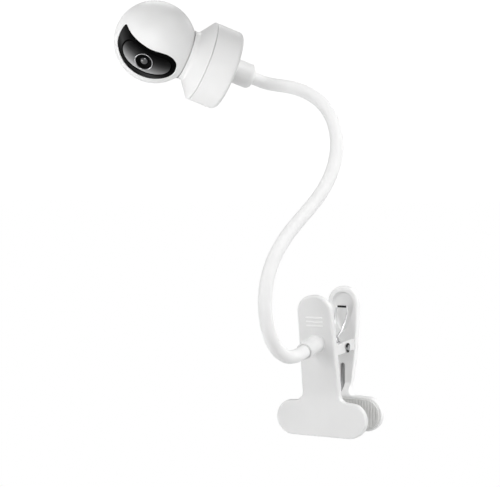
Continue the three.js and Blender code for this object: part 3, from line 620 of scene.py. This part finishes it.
finish_piece(joined("back_jaw_grips", [rib("r", back_out, z, 7.6, M_RIBS_PAINTED_HIGHLIGHT, sgn=1) for z in (104.5, 100.6, 96.7)]), "clip_back")

# Painted shade: a mid-grey strip set partway into the slot through the back jaw, in place of the shade inside the slot.
strip = resample(arc(0, 45, 2.42, 0, 180, 16) + arc(0, 21, 2.42, 180, 360, 16), 0.6, 0.05)
rings = [[(x, float(back_in(z)) + d, z) for x, z in offset(strip, i)] for i, d in ((0.25, 3.2), (0.0, 3.4), (0.0, 5.8), (0.25, 6.0))]
v, f = loft(rings, cap0=True, capN=True)
finish_piece(make("slot_fill_painted_shade", v, f, M_SLOT_PAINTED_SHADE), "clip_back", ["slot_strip"])

# ------------------------------------------------------------------ hinge pin, retaining clip, spring
XFRAME = (np.array([[0, 0, 1], [1, 0, 0], [0, 1, 0]], float), np.array([0.0, PIN[0], PIN[1]]))   # local z -> world x, local x -> y, local y -> z
v, f = turned(rounded([(0, -18.5), (3.9, -18.3), (3.9, -16.5), (PIN[2], -16.4), (PIN[2], 16.9), (1.9, 16.9), (1.9, 18.0), (PIN[2], 18.0), (PIN[2], 18.75), (0, 18.75)],
                      [0, 0.9, 0.15, 0, 0, 0, 0, 0.12, 0.5, 0]), 64, XFRAME)
finish_piece(make("hinge_pin_turned", v, f, M_STEEL, XFRAME), "clip_front", ["hinge_pin"])
clip_pts = resample(arc(0, 0, 4.6, -110, 170, 60) + arc(0, 0, 2.3, 170, -110, 50), 0.25, 0.12)
rings = [[(x, y, z) for x, y in offset(clip_pts, ins)] for ins, z in ((0.12, 17.1), (0, 17.22), (0, 17.68), (0.12, 17.8))]
v, f = loft(rings, cap0=True, capN=True)
finish_piece(make("pin_clip_stamped", v, f, M_DARK, XFRAME), "clip_front", ["pin_retaining_clip"])

def catmull(points, closed=False, per=24):
    p = [np.array(q_, float) for q_ in points]
    n = len(p)
    out = []
    for i in range(n if closed else n - 1):
        p1, p2 = p[i], p[(i + 1) % n]
        p0 = p[i - 1] if (i > 0 or closed) else 2 * p1 - p2
        p3 = p[(i + 2) % n] if (i + 2 < n or closed) else 2 * p2 - p1
        d0, d1, d2 = (max(np.linalg.norm(b - a), 1e-6) ** 0.5 for a, b in ((p0, p1), (p1, p2), (p2, p3)))
        t1 = ((p1 - p0) / d0 - (p2 - p0) / (d0 + d1) + (p2 - p1) / d1) * d1
        t2 = ((p2 - p1) / d1 - (p3 - p1) / (d1 + d2) + (p3 - p2) / d2) * d1
        for k in range(per):
            t = k / per
            out.append(p1 + t1 * t + (-3 * p1 + 3 * p2 - 2 * t1 - t2) * t * t + (2 * p1 - 2 * p2 + t1 + t2) * t ** 3)
    if not closed: out.append(p[-1])
    return np.array(out)

def even(path, step, closed=False):
    d = np.linalg.norm(np.diff(path, axis=0), axis=1)
    s = np.r_[0, np.cumsum(d)]
    n = max(2, int(round(s[-1] / step)))
    u = np.linspace(0, s[-1], n + 1)
    return np.stack([np.interp(u, s, path[:, k]) for k in range(path.shape[1])], 1), u

def tube_rings(path, radius, seg, start_dir=None):
    """Rings round a path, turned with it without twist."""
    t = np.gradient(path, axis=0); t /= np.linalg.norm(t, axis=1)[:, None]
    nrm = np.cross(t[0], [0, 0, 1.0] if abs(t[0][2]) < 0.9 else [1.0, 0, 0]) if start_dir is None else np.array(start_dir, float)
    nrm = unit(nrm - nrm.dot(t[0]) * t[0])
    rings = []
    for i, (c, d) in enumerate(zip(path, t)):
        nrm = unit(nrm - nrm.dot(d) * d)
        b = np.cross(d, nrm)
        r = radius[i] if hasattr(radius, "__len__") else radius
        a = np.linspace(0, 2 * math.pi, seg, endpoint=False)
        rings.append(c + r * (np.cos(a)[:, None] * nrm + np.sin(a)[:, None] * b))
    return rings

half = [(0, 43.2, 103.5), (4.6, 43.2, 103.5), (5.8, 42.6, 101), (4.6, 34, 84)]
for i in range(37):
    a = math.radians(60 - 1080 * i / 36)
    half.append((2.6 + 5.5 * i / 36, PIN[0] + 4.6 * math.cos(a), PIN[1] + 4.6 * math.sin(a)))
half += [(8.2, 12, 76), (7.4, -14.5, 92), (7.4, -20, 95.5)]
wire = [(-x, y, z) for x, y, z in reversed(half[1:])] + half
wire, _ = even(catmull(wire, per=10), 0.6)
v, f = loft(tube_rings(wire, 0.85, 14), cap0=True, capN=True)
wire_ob = make("w", v, f, M_SPRING)
# Painted shade: the spring's bridging leg across the pocket is black instead of spring steel, standing in for the
# shadow it lies in.
spring_bridge_painted_shade = np.array([(x, 43.2, 103.5) for x in np.linspace(-4.7, 4.7, 20)])
v, f = loft(tube_rings(spring_bridge_painted_shade, [0.9] + [1.06] * 18 + [0.9], 16), cap0=True, capN=True)
finish_piece(joined("jaw_spring_wire", [wire_ob, make("s", v, f, M_BLACK)]), "clip_front", ["jaw_spring"])

# ------------------------------------------------------------------ socket of the arm on the clip
FY, FZ, FDOWN, FR, FL = -22.4, 73.2, math.radians(9), 8.0, 27.0
fax = np.array([0, -math.cos(FDOWN), -math.sin(FDOWN)])
fx = np.array([1.0, 0, 0])
FERR = (np.stack([fx, np.cross(fax, fx), fax], 1), np.array([0, FY, FZ]))
prof = rounded([(0, -2.2), (9.1, -2.2), (9.1, -1.3), (8.0, 0.4), (FR, FL), (6.55, FL), (6.55, FL - 3.2), (0, FL - 3.2)],
               [0, 0, 0.3, 1.6, 1.3, 0.25, 0.4, 0], 6)
v, f = turned(prof, 96)
finish_piece(make("clip_ferrule_turned", v, f, M_CLIP, FERR), "clip_front", ["clip_ferrule"])

# ------------------------------------------------------------------ arm: one smooth sleeve over a wound core, divided halfway between the bend points
arm_end = BALL_C - P * ARM_END + WUP * 3.4
raw = catmull([*ARM_PATH, tuple(arm_end - 13 * P), tuple(arm_end)], per=60)
line, ls = even(raw, 0.5)
LEN = ls[-1]
sg, w = 3.5 / 0.5, 30
ker = np.exp(-0.5 * (np.arange(-w, w + 1) / sg) ** 2); ker /= ker.sum()
ext0 = line[0] - unit(line[1] - line[0]) * np.arange(w, 0, -1)[:, None] * 0.5
ext1 = line[-1] + unit(line[-1] - line[-2]) * np.arange(1, w + 1)[:, None] * 0.5
padded = np.r_[ext0, line, ext1]
soft = np.stack([np.convolve(padded[:, k], ker, "valid") for k in range(3)], 1)
lead = 2.8
ext0 = soft[0] - unit(soft[1] - soft[0]) * np.linspace(lead, 0.5, 5)[:, None]
ext1 = soft[-1] + unit(soft[-1] - soft[-2]) * np.linspace(0.5, lead, 5)[:, None]
line = np.r_[ext0, soft, ext1]
ls = np.r_[0, np.cumsum(np.linalg.norm(np.diff(line, axis=0), axis=1))] - lead
first = 1.0
bends = [first + (LEN - 2 * first) * i / 6 for i in range(7)]
cuts_s = [-lead] + [(bends[i] + bends[i + 1]) / 2 for i in range(6)] + [LEN + lead]
at = lambda s: np.array([np.interp(s, ls, line[:, k]) for k in range(3)])
total_n = 420
us = np.linspace(ls[0], ls[-1], total_n + 1)
centre = np.stack([np.interp(us, ls, line[:, k]) for k in range(3)], 1)
outer = tube_rings(centre, SLEEVE_R, 48)
inner = tube_rings(centre, 4.9, 48)
core_r = 3.9 + 0.25 * np.cos(us * 2 * math.pi / 1.7)
core = tube_rings(centre, core_r, 24)
for k in range(7):
    i0 = 0 if k == 0 else int(np.argmin(abs(us - cuts_s[k])))
    i1 = total_n if k == 6 else int(np.argmin(abs(us - cuts_s[k + 1])))
    ro, ri = outer[i0:i1 + 1], inner[i0:i1 + 1]
    if k == 0: ro = [centre[0] + (ro[0] - centre[0]) * 0.93] + ro[1:]
    v, f = loft(ro + ri[::-1] + [ro[0]])
    ob = make("arm_sleeve_part_%d" % (k + 1), v, f, M_SLEEVE)
    vc, fc = loft(core[i0:i1 + 1], cap0=True, capN=True)
    oc = make("arm_core_part_%d" % (k + 1), vc, fc, M_CORE, angle=60)
    b = bends[k]
    lo, hi = (b - 22, b + 22)
    if k == 0: lo, hi = -1.0, 28.0
    if k == 6: lo, hi = LEN - 28.0, LEN + 1.0
    c0, c1, tg = at(max(lo, ls[0])), at(min(hi, ls[-1])), None
    mid = at(b)
    if 0 < k < 6:
        tg = unit(at(b + 1) - at(b - 1)); c0, c1 = mid - tg * 20, mid + tg * 20
    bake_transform(ob)
    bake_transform(oc)
    if k < 6:
        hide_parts("arm_sleeve_%d" % (k + 1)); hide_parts("arm_core_%d" % (k + 1))

# ------------------------------------------------------------------ camera base: cup, ferrule, connector side
s0, s1 = -48.9, -76.5
BR = 39.0
W2 = tuple(wl)
prof = rounded([(0, s1), (BR, s1), (BR, s0), (BR - 2.6, s0), (BR - 2.6, s0 - 2.8), (BR - 3.8, s0 - 2.8), (BR - 3.8, s1 + 2.6), (0, s1 + 2.6)],
               [0, 4.2, 0.45, 0.2, 0.2, 0.2, 2.0, 0], 10)
def densify(profile, step=1.5):
    out = [profile[0]]
    for a, b in zip(profile[:-1], profile[1:]):
        n = max(1, int(math.hypot(b[0] - a[0], b[1] - a[1]) / step))
        out += [(a[0] + (b[0] - a[0]) * i / n, a[1] + (b[1] - a[1]) * i / n) for i in range(1, n + 1)]
    return out
v, f = turned(densify(prof, 3.0), 192)
cup = make("base_cup", v, f, M_WHITE, CAMFRAME)
side_a = math.radians(205)
sd = np.array([math.cos(side_a), math.sin(side_a), 0.0])
side_local = (np.stack([np.cross([0, 0, 1.0], sd), [0, 0, 1.0], sd], 1), np.array([0, 0, -66.0]))
SIDE = (CAMFRAME[0] @ side_local[0], CAMFRAME[1] + CAMFRAME[0] @ side_local[1])
usb = arc(3, 0, 1.7, -90, 90, 16) + arc(-3, 0, 1.7, 90, 270, 16)
def cutter(name, pts, z0, z1, frame_, flare=0.0, zf=39.0):
    pl = resample(pts, 0.35, 0.05)
    spec = [(0, z0), (0, zf - 0.9), (-flare, zf + 0.3), (-flare, z1)] if flare else [(0, z0), (0, z1)]
    v, f = loft([[(x, y, z) for x, y in offset(pl, i)] for i, z in spec], cap0=True, capN=True)
    return make(name, v, f, M_WHITE, frame_)
c1 = cutter("c", [(x * 1.08, y * 1.18) for x, y in usb], 30, 45, SIDE, 0.7)
c2 = cutter("c", [(12.5 + x, y) for x, y in arc(0, 0, 2.4, 0, 354, 48)], 30, 45, SIDE, 0.5)
c3 = cutter("c", [(W2[0] + x, W2[1] + y) for x, y in arc(0, 0, 3.3, 0, 354, 48)], s1 - 2, s1 + 6, CAMFRAME)
boolean(cup, [c1, c2, c3])
weighted(cup)
finish_piece(cup, "camera_base", ["base_housing"])
v, f = turned(rounded([(19, s0 - 2.5), (36.1, s0 - 2.5), (36.1, s0 - 0.9), (19, s0 - 0.9), (19, s0 - 2.5)], 0.3), 128)
finish_piece(make("base_closing_ring", v, f, M_WHITE, CAMFRAME), "camera_base", ["base_top_plate"])
fb, fe = s1 - 0.3, -ARM_END
prof = rounded([(0, fb + 0.15), (12.0, fb + 0.15), (12.0, fe + 6.5)], [0, 0.35, 0], 6)
prof += [(6.95 + 5.05 * math.cos(a), fe + 5.2 - 5.1 * math.sin(a)) for a in np.linspace(0.05, math.pi / 2, 16)] + [(6.7, fe + 0.15), (6.55, fe + 0.5), (6.55, fe + 3.2), (0, fe + 3.2)]
v, f = turned(densify(prof, 3.0), 112, offset=W2)
finish_piece(weighted(make("camera_ferrule_turned", v, f, M_WHITE, CAMFRAME)), "camera_base", ["arm_end_ferrule"])
prof = rounded([(0, 28.4), (3.3, 28.4), (3.3, 29.6), (2.05, 29.6), (2.05, 37.5), (1.2, 37.35), (0, 37.3)], [0, 0.2, 0.2, 0.2, 0.4, 0.3, 0], 4)
v, f = turned(prof, 48, offset=(12.5, 0))
finish_piece(make("reset_button_cap", v, f, M_WHITE, SIDE), "reset_button", ["reset_button"])
u_out = resample(usb, 0.3, 0.0)
u_in = resample([(x * 0.84, y * 0.74) for x, y in usb], 0.3, 0.0)
n_u = min(len(u_out), len(u_in))
def spread(pts, n):
    p = np.r_[pts, pts[:1]]; d = np.linalg.norm(np.diff(p, axis=0), axis=1); s = np.r_[0, np.cumsum(d)]
    u = np.linspace(0, s[-1], n, endpoint=False)
    return np.stack([np.interp(u, s, p[:, k]) for k in (0, 1)], 1)
uo = spread(u_out, 80)
ui = uo * np.array([0.84, 0.74])
rings = [(uo * 0.99, 27), (uo, 27.2), (uo, 36.1), (uo * 0.985, 36.3), (ui * 1.02, 36.3), (ui, 36.15), (ui, 30.5)]
v, f = loft([[(x, y, z) for x, y in r] for r, z in rings], cap0=True, capN=True)
shell_u = make("u", v, f, M_STEEL, SIDE)
tg_ = resample([(-2.4, -0.35), (2.4, -0.35), (2.4, 0.35), (-2.4, 0.35)], 0.2, 0.08)
v, f = loft([[(x, y, z) for x, y in offset(tg_, i)] for i, z in ((0, 30.0), (0, 34.9), (0.1, 35.0))], cap0=True, capN=True)
tongue = make("t", v, f, M_BLACK, SIDE)
pins_ = []
for i in range(6):
    x = -1.75 + 0.7 * i
    pl = resample([(x - 0.14, 0.3), (x + 0.14, 0.3), (x + 0.14, 0.42), (x - 0.14, 0.42)], 0.06, 0.01)
    v, f = loft([[(a, b, z) for a, b in pl] for z in (31.0, 34.6)], cap0=True, capN=True)
    pins_.append(make("p", v, f, M_RING, SIDE))
finish_piece(joined("usb_inlet", [shell_u, tongue] + pins_), "camera_base", ["usb_socket"])

# ------------------------------------------------------------------ turret: collar
cup0 = BALL_R + 0.7
on_cup = lambda r: (r, -math.sqrt(cup0 * cup0 - r * r))
prof = [(12, -53), (17.6, -53), (17.6, -48.6), (33.5, -48.6), (BR, -48.5), (BR, -47.8), (24.9, -37.0), (24.3, -35.4), (24.3, -32.0), (23.75, on_cup(23.75)[1]),
        on_cup(22), on_cup(19), on_cup(16), on_cup(13.5), on_cup(12), (12, -53)]
prof = rounded(prof, [0, 0.3, 0.3, 0, 0.12, 0.55, 1.4, 1.4, 0.45, 0.2, 0, 0, 0, 0, 0.2, 0], 8)
v, f = turned(densify(prof, 2.0), 192)
finish_piece(weighted(make("collar_turned", v, f, M_WHITE, CAMFRAME)), "turret", ["collar"])

# ------------------------------------------------------------------ head shells
COLS = 288
vis = catmull([(x, y, 0) for x, y in VISOR], closed=True, per=40)[:, :2]
def visor_radius(grow):
    """Distance of the visor's outline, moved outwards by grow, from the lens axis, at COLS even angles."""
    p = resample([tuple(q_) for q_ in vis], 0.25, 0.6)
    p = offset(p, -grow) if grow else p
    a = np.unwrap(np.arctan2(p[:, 1], p[:, 0]))
    r = np.hypot(p[:, 0], p[:, 1])
    k = np.argsort(a % (2 * math.pi))
    a, r = (a % (2 * math.pi))[k], r[k]
    want = np.linspace(0, 2 * math.pi, COLS, endpoint=False)
    return np.interp(want, np.r_[a[-1] - 2 * math.pi, a, a[0] + 2 * math.pi], np.r_[r[-1], r, r[0]])
ANG = np.linspace(0, 2 * math.pi, COLS, endpoint=False)
def ring_at(theta, radius):
    """Ring in the look frame at angle theta from the lens axis (a number or one per column)."""
    th = np.broadcast_to(np.asarray(theta, float), ANG.shape)
    rr = np.broadcast_to(np.asarray(radius, float), ANG.shape)
    return np.stack([rr * np.sin(th) * np.cos(ANG), rr * np.sin(th) * np.sin(ANG), rr * np.cos(th)], 1)
th_v = lambda grow: np.arcsin(np.clip(visor_radius(grow) / BALL_R, 0, 0.999))
th_rear = math.radians(125.05)
RI = BALL_R - BALL_WALL
t0, t1, t2, t3, t4 = (th_v(g) for g in (0.30, 0.42, 0.75, 1.35, 1.9))
rings = [ring_at(th_v(0.30), RI + 0.05), ring_at(t0, BALL_R - 0.5), ring_at(t0, BALL_R + 0.02), ring_at(t1, BALL_R + 0.26), ring_at(t2, BALL_R + 0.36),
         ring_at(t3, BALL_R + 0.2), ring_at(t4, BALL_R + 0.02)]
N1 = 84
for i in range(1, N1 + 1):
    k = i / N1
    rings.append(ring_at(t4 + (th_rear - 0.006 - t4) * k, BALL_R))
rings.append(ring_at(th_rear - 0.001, BALL_R - 0.06)); rings.append(ring_at(th_rear, BALL_R - 0.3)); rings.append(ring_at(th_rear, RI + 0.3))
rings.append(ring_at(th_rear - 0.004, RI))
for i in range(1, 30):
    k = i / 30
    rings.append(ring_at(th_rear - 0.004 + (th_v(0.30) + 0.02 - th_rear + 0.004) * k, RI))
rings.append(rings[0])
v, f = loft(rings)
front_shell = make("head_front_shell_moulded", v, f, M_WHITE, LOOK)
th_c = math.radians(125.6)
rings = []
cap = math.pi
N2 = 40
for i in range(N2):
    rings.append(ring_at(cap - (cap - th_c - 0.006) * (i / N2) if i else cap - 1e-3, BALL_R))
rings += [ring_at(th_c + 0.006, BALL_R), ring_at(th_c + 0.001, BALL_R - 0.06), ring_at(th_c, BALL_R - 0.3), ring_at(th_c, RI + 0.3), ring_at(th_c + 0.004, RI)]
for i in range(1, 20):
    rings.append(ring_at(th_c + 0.004 + (cap - 1e-3 - th_c - 0.004) * i / 19, RI))
v, f = loft(rings, cap0=True, capN=True)
rear_cover = make("head_rear_cover_moulded", v, f, M_WHITE, LOOK)
# slot for the post: a band about the tilt axis
lens_angle = math.atan2(L.dot(P), L.dot(PT))
to_lens = 1.0 if math.sin(lens_angle + math.pi / 2) >= 0 else -1.0
def band(name, half_w, front_deg, back_deg):
    pts = []
    for r in (60.0, 12.0):
        row = [(r, -math.pi / 2 + to_lens * math.radians(-back_deg + (front_deg + back_deg) * i / 48)) for i in range(49)]
        pts += [(r_ * math.cos(a), r_ * math.sin(a)) for r_, a in (row if r == 60.0 else row[::-1])]
    rings = [[(x, y, z) for y, z in pts] for x in (-half_w, half_w)]
    v, f = loft(rings, cap0=True, capN=True)
    return make(name, v, f, M_WHITE, CAMFRAME)
boolean(front_shell, [band("b", 5.8, 29, 49)], angle=30)
boolean(rear_cover, [band("b", 5.8, 29, 49)], angle=30)
finish_piece(front_shell, "head", ["head_front_shell"])
finish_piece(rear_cover, "head", ["head_rear_cover"])

# ------------------------------------------------------------------ visor with its sunken oval window
C11, S11 = math.cos(math.radians(11)), math.sin(math.radians(11))
oval_nat = [(-23.9, 2.1), (-23.1, -2.3), (-19.2, -6.6), (-10.4, -9.7), (-3.2, -10.4), (4.4, -10.4), (11.3, -9.7), (16.8, -8.6), (21.7, -6.4),
            (24.4, -2.8), (24.9, 1.4), (23.9, 5.6), (20.6, 9.2), (15.0, 10.9), (6.0, 11.3), (-4.0, 11.5), (-13.0, 11.7), (-19.0, 10.6), (-22.6, 7.0)]
oval = [(a * C11 - b * S11, a * S11 + b * C11) for a, b in oval_nat]      # visor frame back to (h, u)
ov = catmull([(x, y, 0) for x, y in oval], closed=True, per=40)[:, :2]
def radius_of(curve, grow=0.0):
    p = resample([tuple(q_) for q_ in curve], 0.25, 0.5)
    p = offset(p, -grow) if grow else p
    a, r = np.arctan2(p[:, 1], p[:, 0]) % (2 * math.pi), np.hypot(p[:, 0], p[:, 1])
    k = np.argsort(a); a, r = a[k], r[k]
    return np.interp(ANG, np.r_[a[-1] - 2 * math.pi, a, a[0] + 2 * math.pi], np.r_[r[-1], r, r[0]])
RV = BALL_R - 0.35
def vring(rho, drop):
    """Ring of the visor at distance rho from the lens axis, drop below its own sphere."""
    rho = np.broadcast_to(np.asarray(rho, float), ANG.shape)
    drop = np.broadcast_to(np.asarray(drop, float), ANG.shape)
    z = np.sqrt(np.maximum(RV * RV - rho * rho, 1.0)) - drop
    return np.stack([rho * np.cos(ANG), rho * np.sin(ANG), z], 1)
ro = visor_radius(0.0)
rw = radius_of(ov)
HOLE = 9.1
step_w = 0.45                      # width of the step down into the window
rows = [vring(ro, 1.9), vring(ro, 0.45), vring(ro - 0.1, 0.15), vring(ro - 0.4, 0.02)]
for i in range(1, 13):
    k = i / 12
    rows.append(vring((ro - 0.4) * (1 - k) + (rw + 0.5) * k, 0.02))
DEEP = 0.75
rows += [vring(rw + 0.2, 0.08), vring(rw - 0.05, 0.3), vring(rw - 0.3, DEEP - 0.1)]
band_rows = len(rows)
rows2 = [vring(rw - 0.3, DEEP - 0.1), vring(rw - 0.6, DEEP)]
for i in range(1, 17):
    k = i / 16
    rows2.append(vring((rw - 0.6) * (1 - k) + HOLE * k, DEEP))
rows2.append(vring(HOLE, 3.0))
inner_rows = [vring(HOLE, 3.0), vring((rw + HOLE) / 2, 2.8), vring(ro * 0.97, 2.6), vring(ro, 1.9)]
nb = len(rows)
all_rows = rows + rows2[1:] + inner_rows[1:]
v, f = loft(all_rows)
visor = make("visor_moulded", v, f, M_VISOR, LOOK, angle=40)
visor.data.materials.append(M_WINDOW)
visor.data.materials.append(M_STEP)
look_inv = np.array(LOOK[0])
for poly in visor.data.polygons:
    q_ = (np.array(poly.center) / MM - BALL_C) @ look_inv
    rho_ = math.hypot(q_[0], q_[1])
    edge_ = float(np.interp(math.atan2(q_[1], q_[0]) % (2 * math.pi), np.r_[ANG, 2 * math.pi], np.r_[rw, rw[0]]))
    drop_ = math.sqrt(max(RV * RV - rho_ * rho_, 1.0)) - q_[2]
    if drop_ < 1.3 and rho_ < edge_ - 0.45:
        poly.material_index = 1
    elif rho_ < edge_ + 1.0:
        poly.material_index = 2
finish_piece(visor, "head", ["visor"])

# ------------------------------------------------------------------ lens: ring, stepped funnel, front element
prof = rounded([(7.55, 33.0), (8.85, 33.0), (8.85, 37.75), (8.25, 37.75), (7.7, 37.0), (7.55, 33.0)], [0, 0.1, 0.3, 0.2, 0.1, 0], 5)
v, f = turned(prof, 128)
finish_piece(make("lens_ring_turned", v, f, M_RING, LOOK), "head", ["lens_bezel"])
prof = [(0, 33.85), (7.5, 33.85), (7.5, 36.75), (7.2, 36.85), (6.9, 36.35), (6.9, 36.1), (6.3, 36.0), (6.3, 35.7), (5.7, 35.6), (5.7, 35.3), (5.1, 35.2), (5.1, 34.9),
        (4.6, 34.8), (4.6, 34.4), (0, 34.3)]
v, f = turned(prof, 96)
finish_piece(make("lens_funnel", v, f, M_BAFFLE, LOOK, angle=25), "head")
dome = [(0, 34.35), (4.3, 34.35), (4.3, 34.7)] + [(4.15 * math.cos(a), 34.75 + 2.75 * math.sin(a)) for a in np.linspace(0.05, math.pi / 2 - 0.05, 20)] + [(0, 37.5)]
v, f = turned(dome, 96)
finish_piece(make("lens_front_element", v, f, M_GLASS, LOOK), "head", ["lens_glass"])

# ------------------------------------------------------------------ stage and light
def plane(name, size, z, mat):
    n = 2
    me = bpy.data.meshes.new(name)
    me.from_pydata([(-size, -size, z), (size, -size, z), (size, size, z), (-size, size, z)], [], [(0, 1, 2, 3)])
    me.materials.append(mat)
    ob = bpy.data.objects.new(name, me); scene.collection.objects.link(ob)
    return ob
m_floor = bpy.data.materials.new("pale_floor"); m_floor.use_nodes = True
ft = m_floor.node_tree
b = ft.nodes["Principled BSDF"]
b.inputs["Base Color"].default_value = (0.9, 0.9, 0.9, 1); b.inputs["Roughness"].default_value = 0.9; b.inputs["Specular IOR Level"].default_value = 0.1
glow = ft.nodes.new("ShaderNodeEmission")
glow.inputs["Color"].default_value = (1, 1, 1, 1); glow.inputs["Strength"].default_value = 1.0
seen, flip = ft.nodes.new("ShaderNodeLightPath"), ft.nodes.new("ShaderNodeMixShader")
ft.links.new(seen.outputs["Is Camera Ray"], flip.inputs["Fac"])
ft.links.new(b.outputs["BSDF"], flip.inputs[1]); ft.links.new(glow.outputs["Emission"], flip.inputs[2])
ft.links.new(flip.outputs["Shader"], ft.nodes["Material Output"].inputs["Surface"])
plane("floor", 60.0, -0.30, m_floor)

world = bpy.data.worlds.new("studio"); scene.world = world; world.use_nodes = True
wt = world.node_tree
bg = wt.nodes["Background"]
lp = wt.nodes.new("ShaderNodeLightPath")
mixn = wt.nodes.new("ShaderNodeMixShader")
bg2 = wt.nodes.new("ShaderNodeBackground")
bg.inputs["Color"].default_value = (1, 1, 1, 1); bg.inputs["Strength"].default_value = 0.28
bg2.inputs["Color"].default_value = (1, 1, 1, 1); bg2.inputs["Strength"].default_value = 1.05
wt.links.new(lp.outputs["Is Camera Ray"], mixn.inputs["Fac"])
wt.links.new(bg.outputs["Background"], mixn.inputs[1]); wt.links.new(bg2.outputs["Background"], mixn.inputs[2])
wt.links.new(mixn.outputs["Shader"], wt.nodes["World Output"].inputs["Surface"])

# Soft boxes round the object: name, degrees to the right of the camera's side, degrees up, distance, width,
# strength on the camera and its base, strength on the arm and the clamp
LIGHTS = [
    ("front", 0, 12, 3.0, 1.5, 0.450, 0.0), ("front_left", -45, 12, 3.0, 1.5, 0.035, 0.306),
    ("left", -90, 12, 3.0, 1.5, 0.254, 0.062), ("right", 90, 12, 3.0, 1.5, 0.019, 0.314),
    ("back_left", -140, 20, 3.0, 1.5, 0.062, 0.0), ("back_right", 140, 20, 3.0, 1.5, 0.156, 0.191),
    ("high_front_left", -45, 48, 3.0, 1.5, 0.0, 0.060), ("high_front_right", 45, 48, 3.0, 1.5, 0.105, 0.518),
    ("high_left", -105, 48, 3.0, 1.5, 0.061, 0.125), ("high_back", 180, 48, 3.0, 1.5, 0.213, 0.0),
    ("low_left", -70, -24, 1.0, 0.5, 0.397, 0.0)]
AIM = Vector((-0.05, -0.05, 0.2))
groups = [bpy.data.collections.new("lit_camera"), bpy.data.collections.new("lit_clamp"), bpy.data.collections.new("lit_rear_jaw")]
for o_ in scene.objects:
    if o_.type != "MESH":
        continue
    if o_.name == "floor":
        groups[0].objects.link(o_)
        continue
    if o_.name.startswith("arm_") and o_.name != "arm_end_ferrule":
        groups[1].objects.link(o_)
        continue
    pts_ = [o_.matrix_world @ Vector(c) for c in o_.bound_box]
    mid = sum(pts_, Vector()) / 8
    body_ = BODY_OF.get(o_.name)
    on_camera = body_ in CAMERA_BODIES and o_.name != "camera_ferrule_turned" if body_ else (mid.z > 0.27 and mid.x < 0)
    groups[0 if on_camera else 1].objects.link(o_)
    if body_ == "clip_back" and not o_.name.endswith("lugs"):
        groups[2].objects.link(o_)
for name_, right_deg, up_deg, dist, width, on_cam, on_clamp, on_rear in [l_ + (0.0,) for l_ in LIGHTS] + [("rear_fill", 50, 14, 3.0, 1.5, 0.0, 0.0, 0.22)]:
    for k_, strength in enumerate((on_cam, on_clamp, on_rear)):
        if strength <= 0:
            continue
        d_ = bpy.data.lights.new("light_%s_%d" % (name_, k_), "AREA")
        d_.size = width
        d_.energy = strength * math.pi ** 2 * dist ** 2
        o_ = bpy.data.objects.new("light_%s_%d" % (name_, k_), d_); scene.collection.objects.link(o_)
        a_, e_ = math.radians(right_deg), math.radians(up_deg)
        away = (-AHEAD * math.cos(a_) + RIGHT * math.sin(a_)) * math.cos(e_) + Vector((0, 0, math.sin(e_)))
        o_.location = AIM + away * dist
        o_.rotation_euler = (-away).to_track_quat("-Z", "Y").to_euler()
        o_.visible_camera = False
        o_.light_linking.receiver_collection = groups[k_]

for o_ in scene.objects:
    if o_.type == "MESH" and not o_.data.materials: print("NO MATERIAL", o_.name)
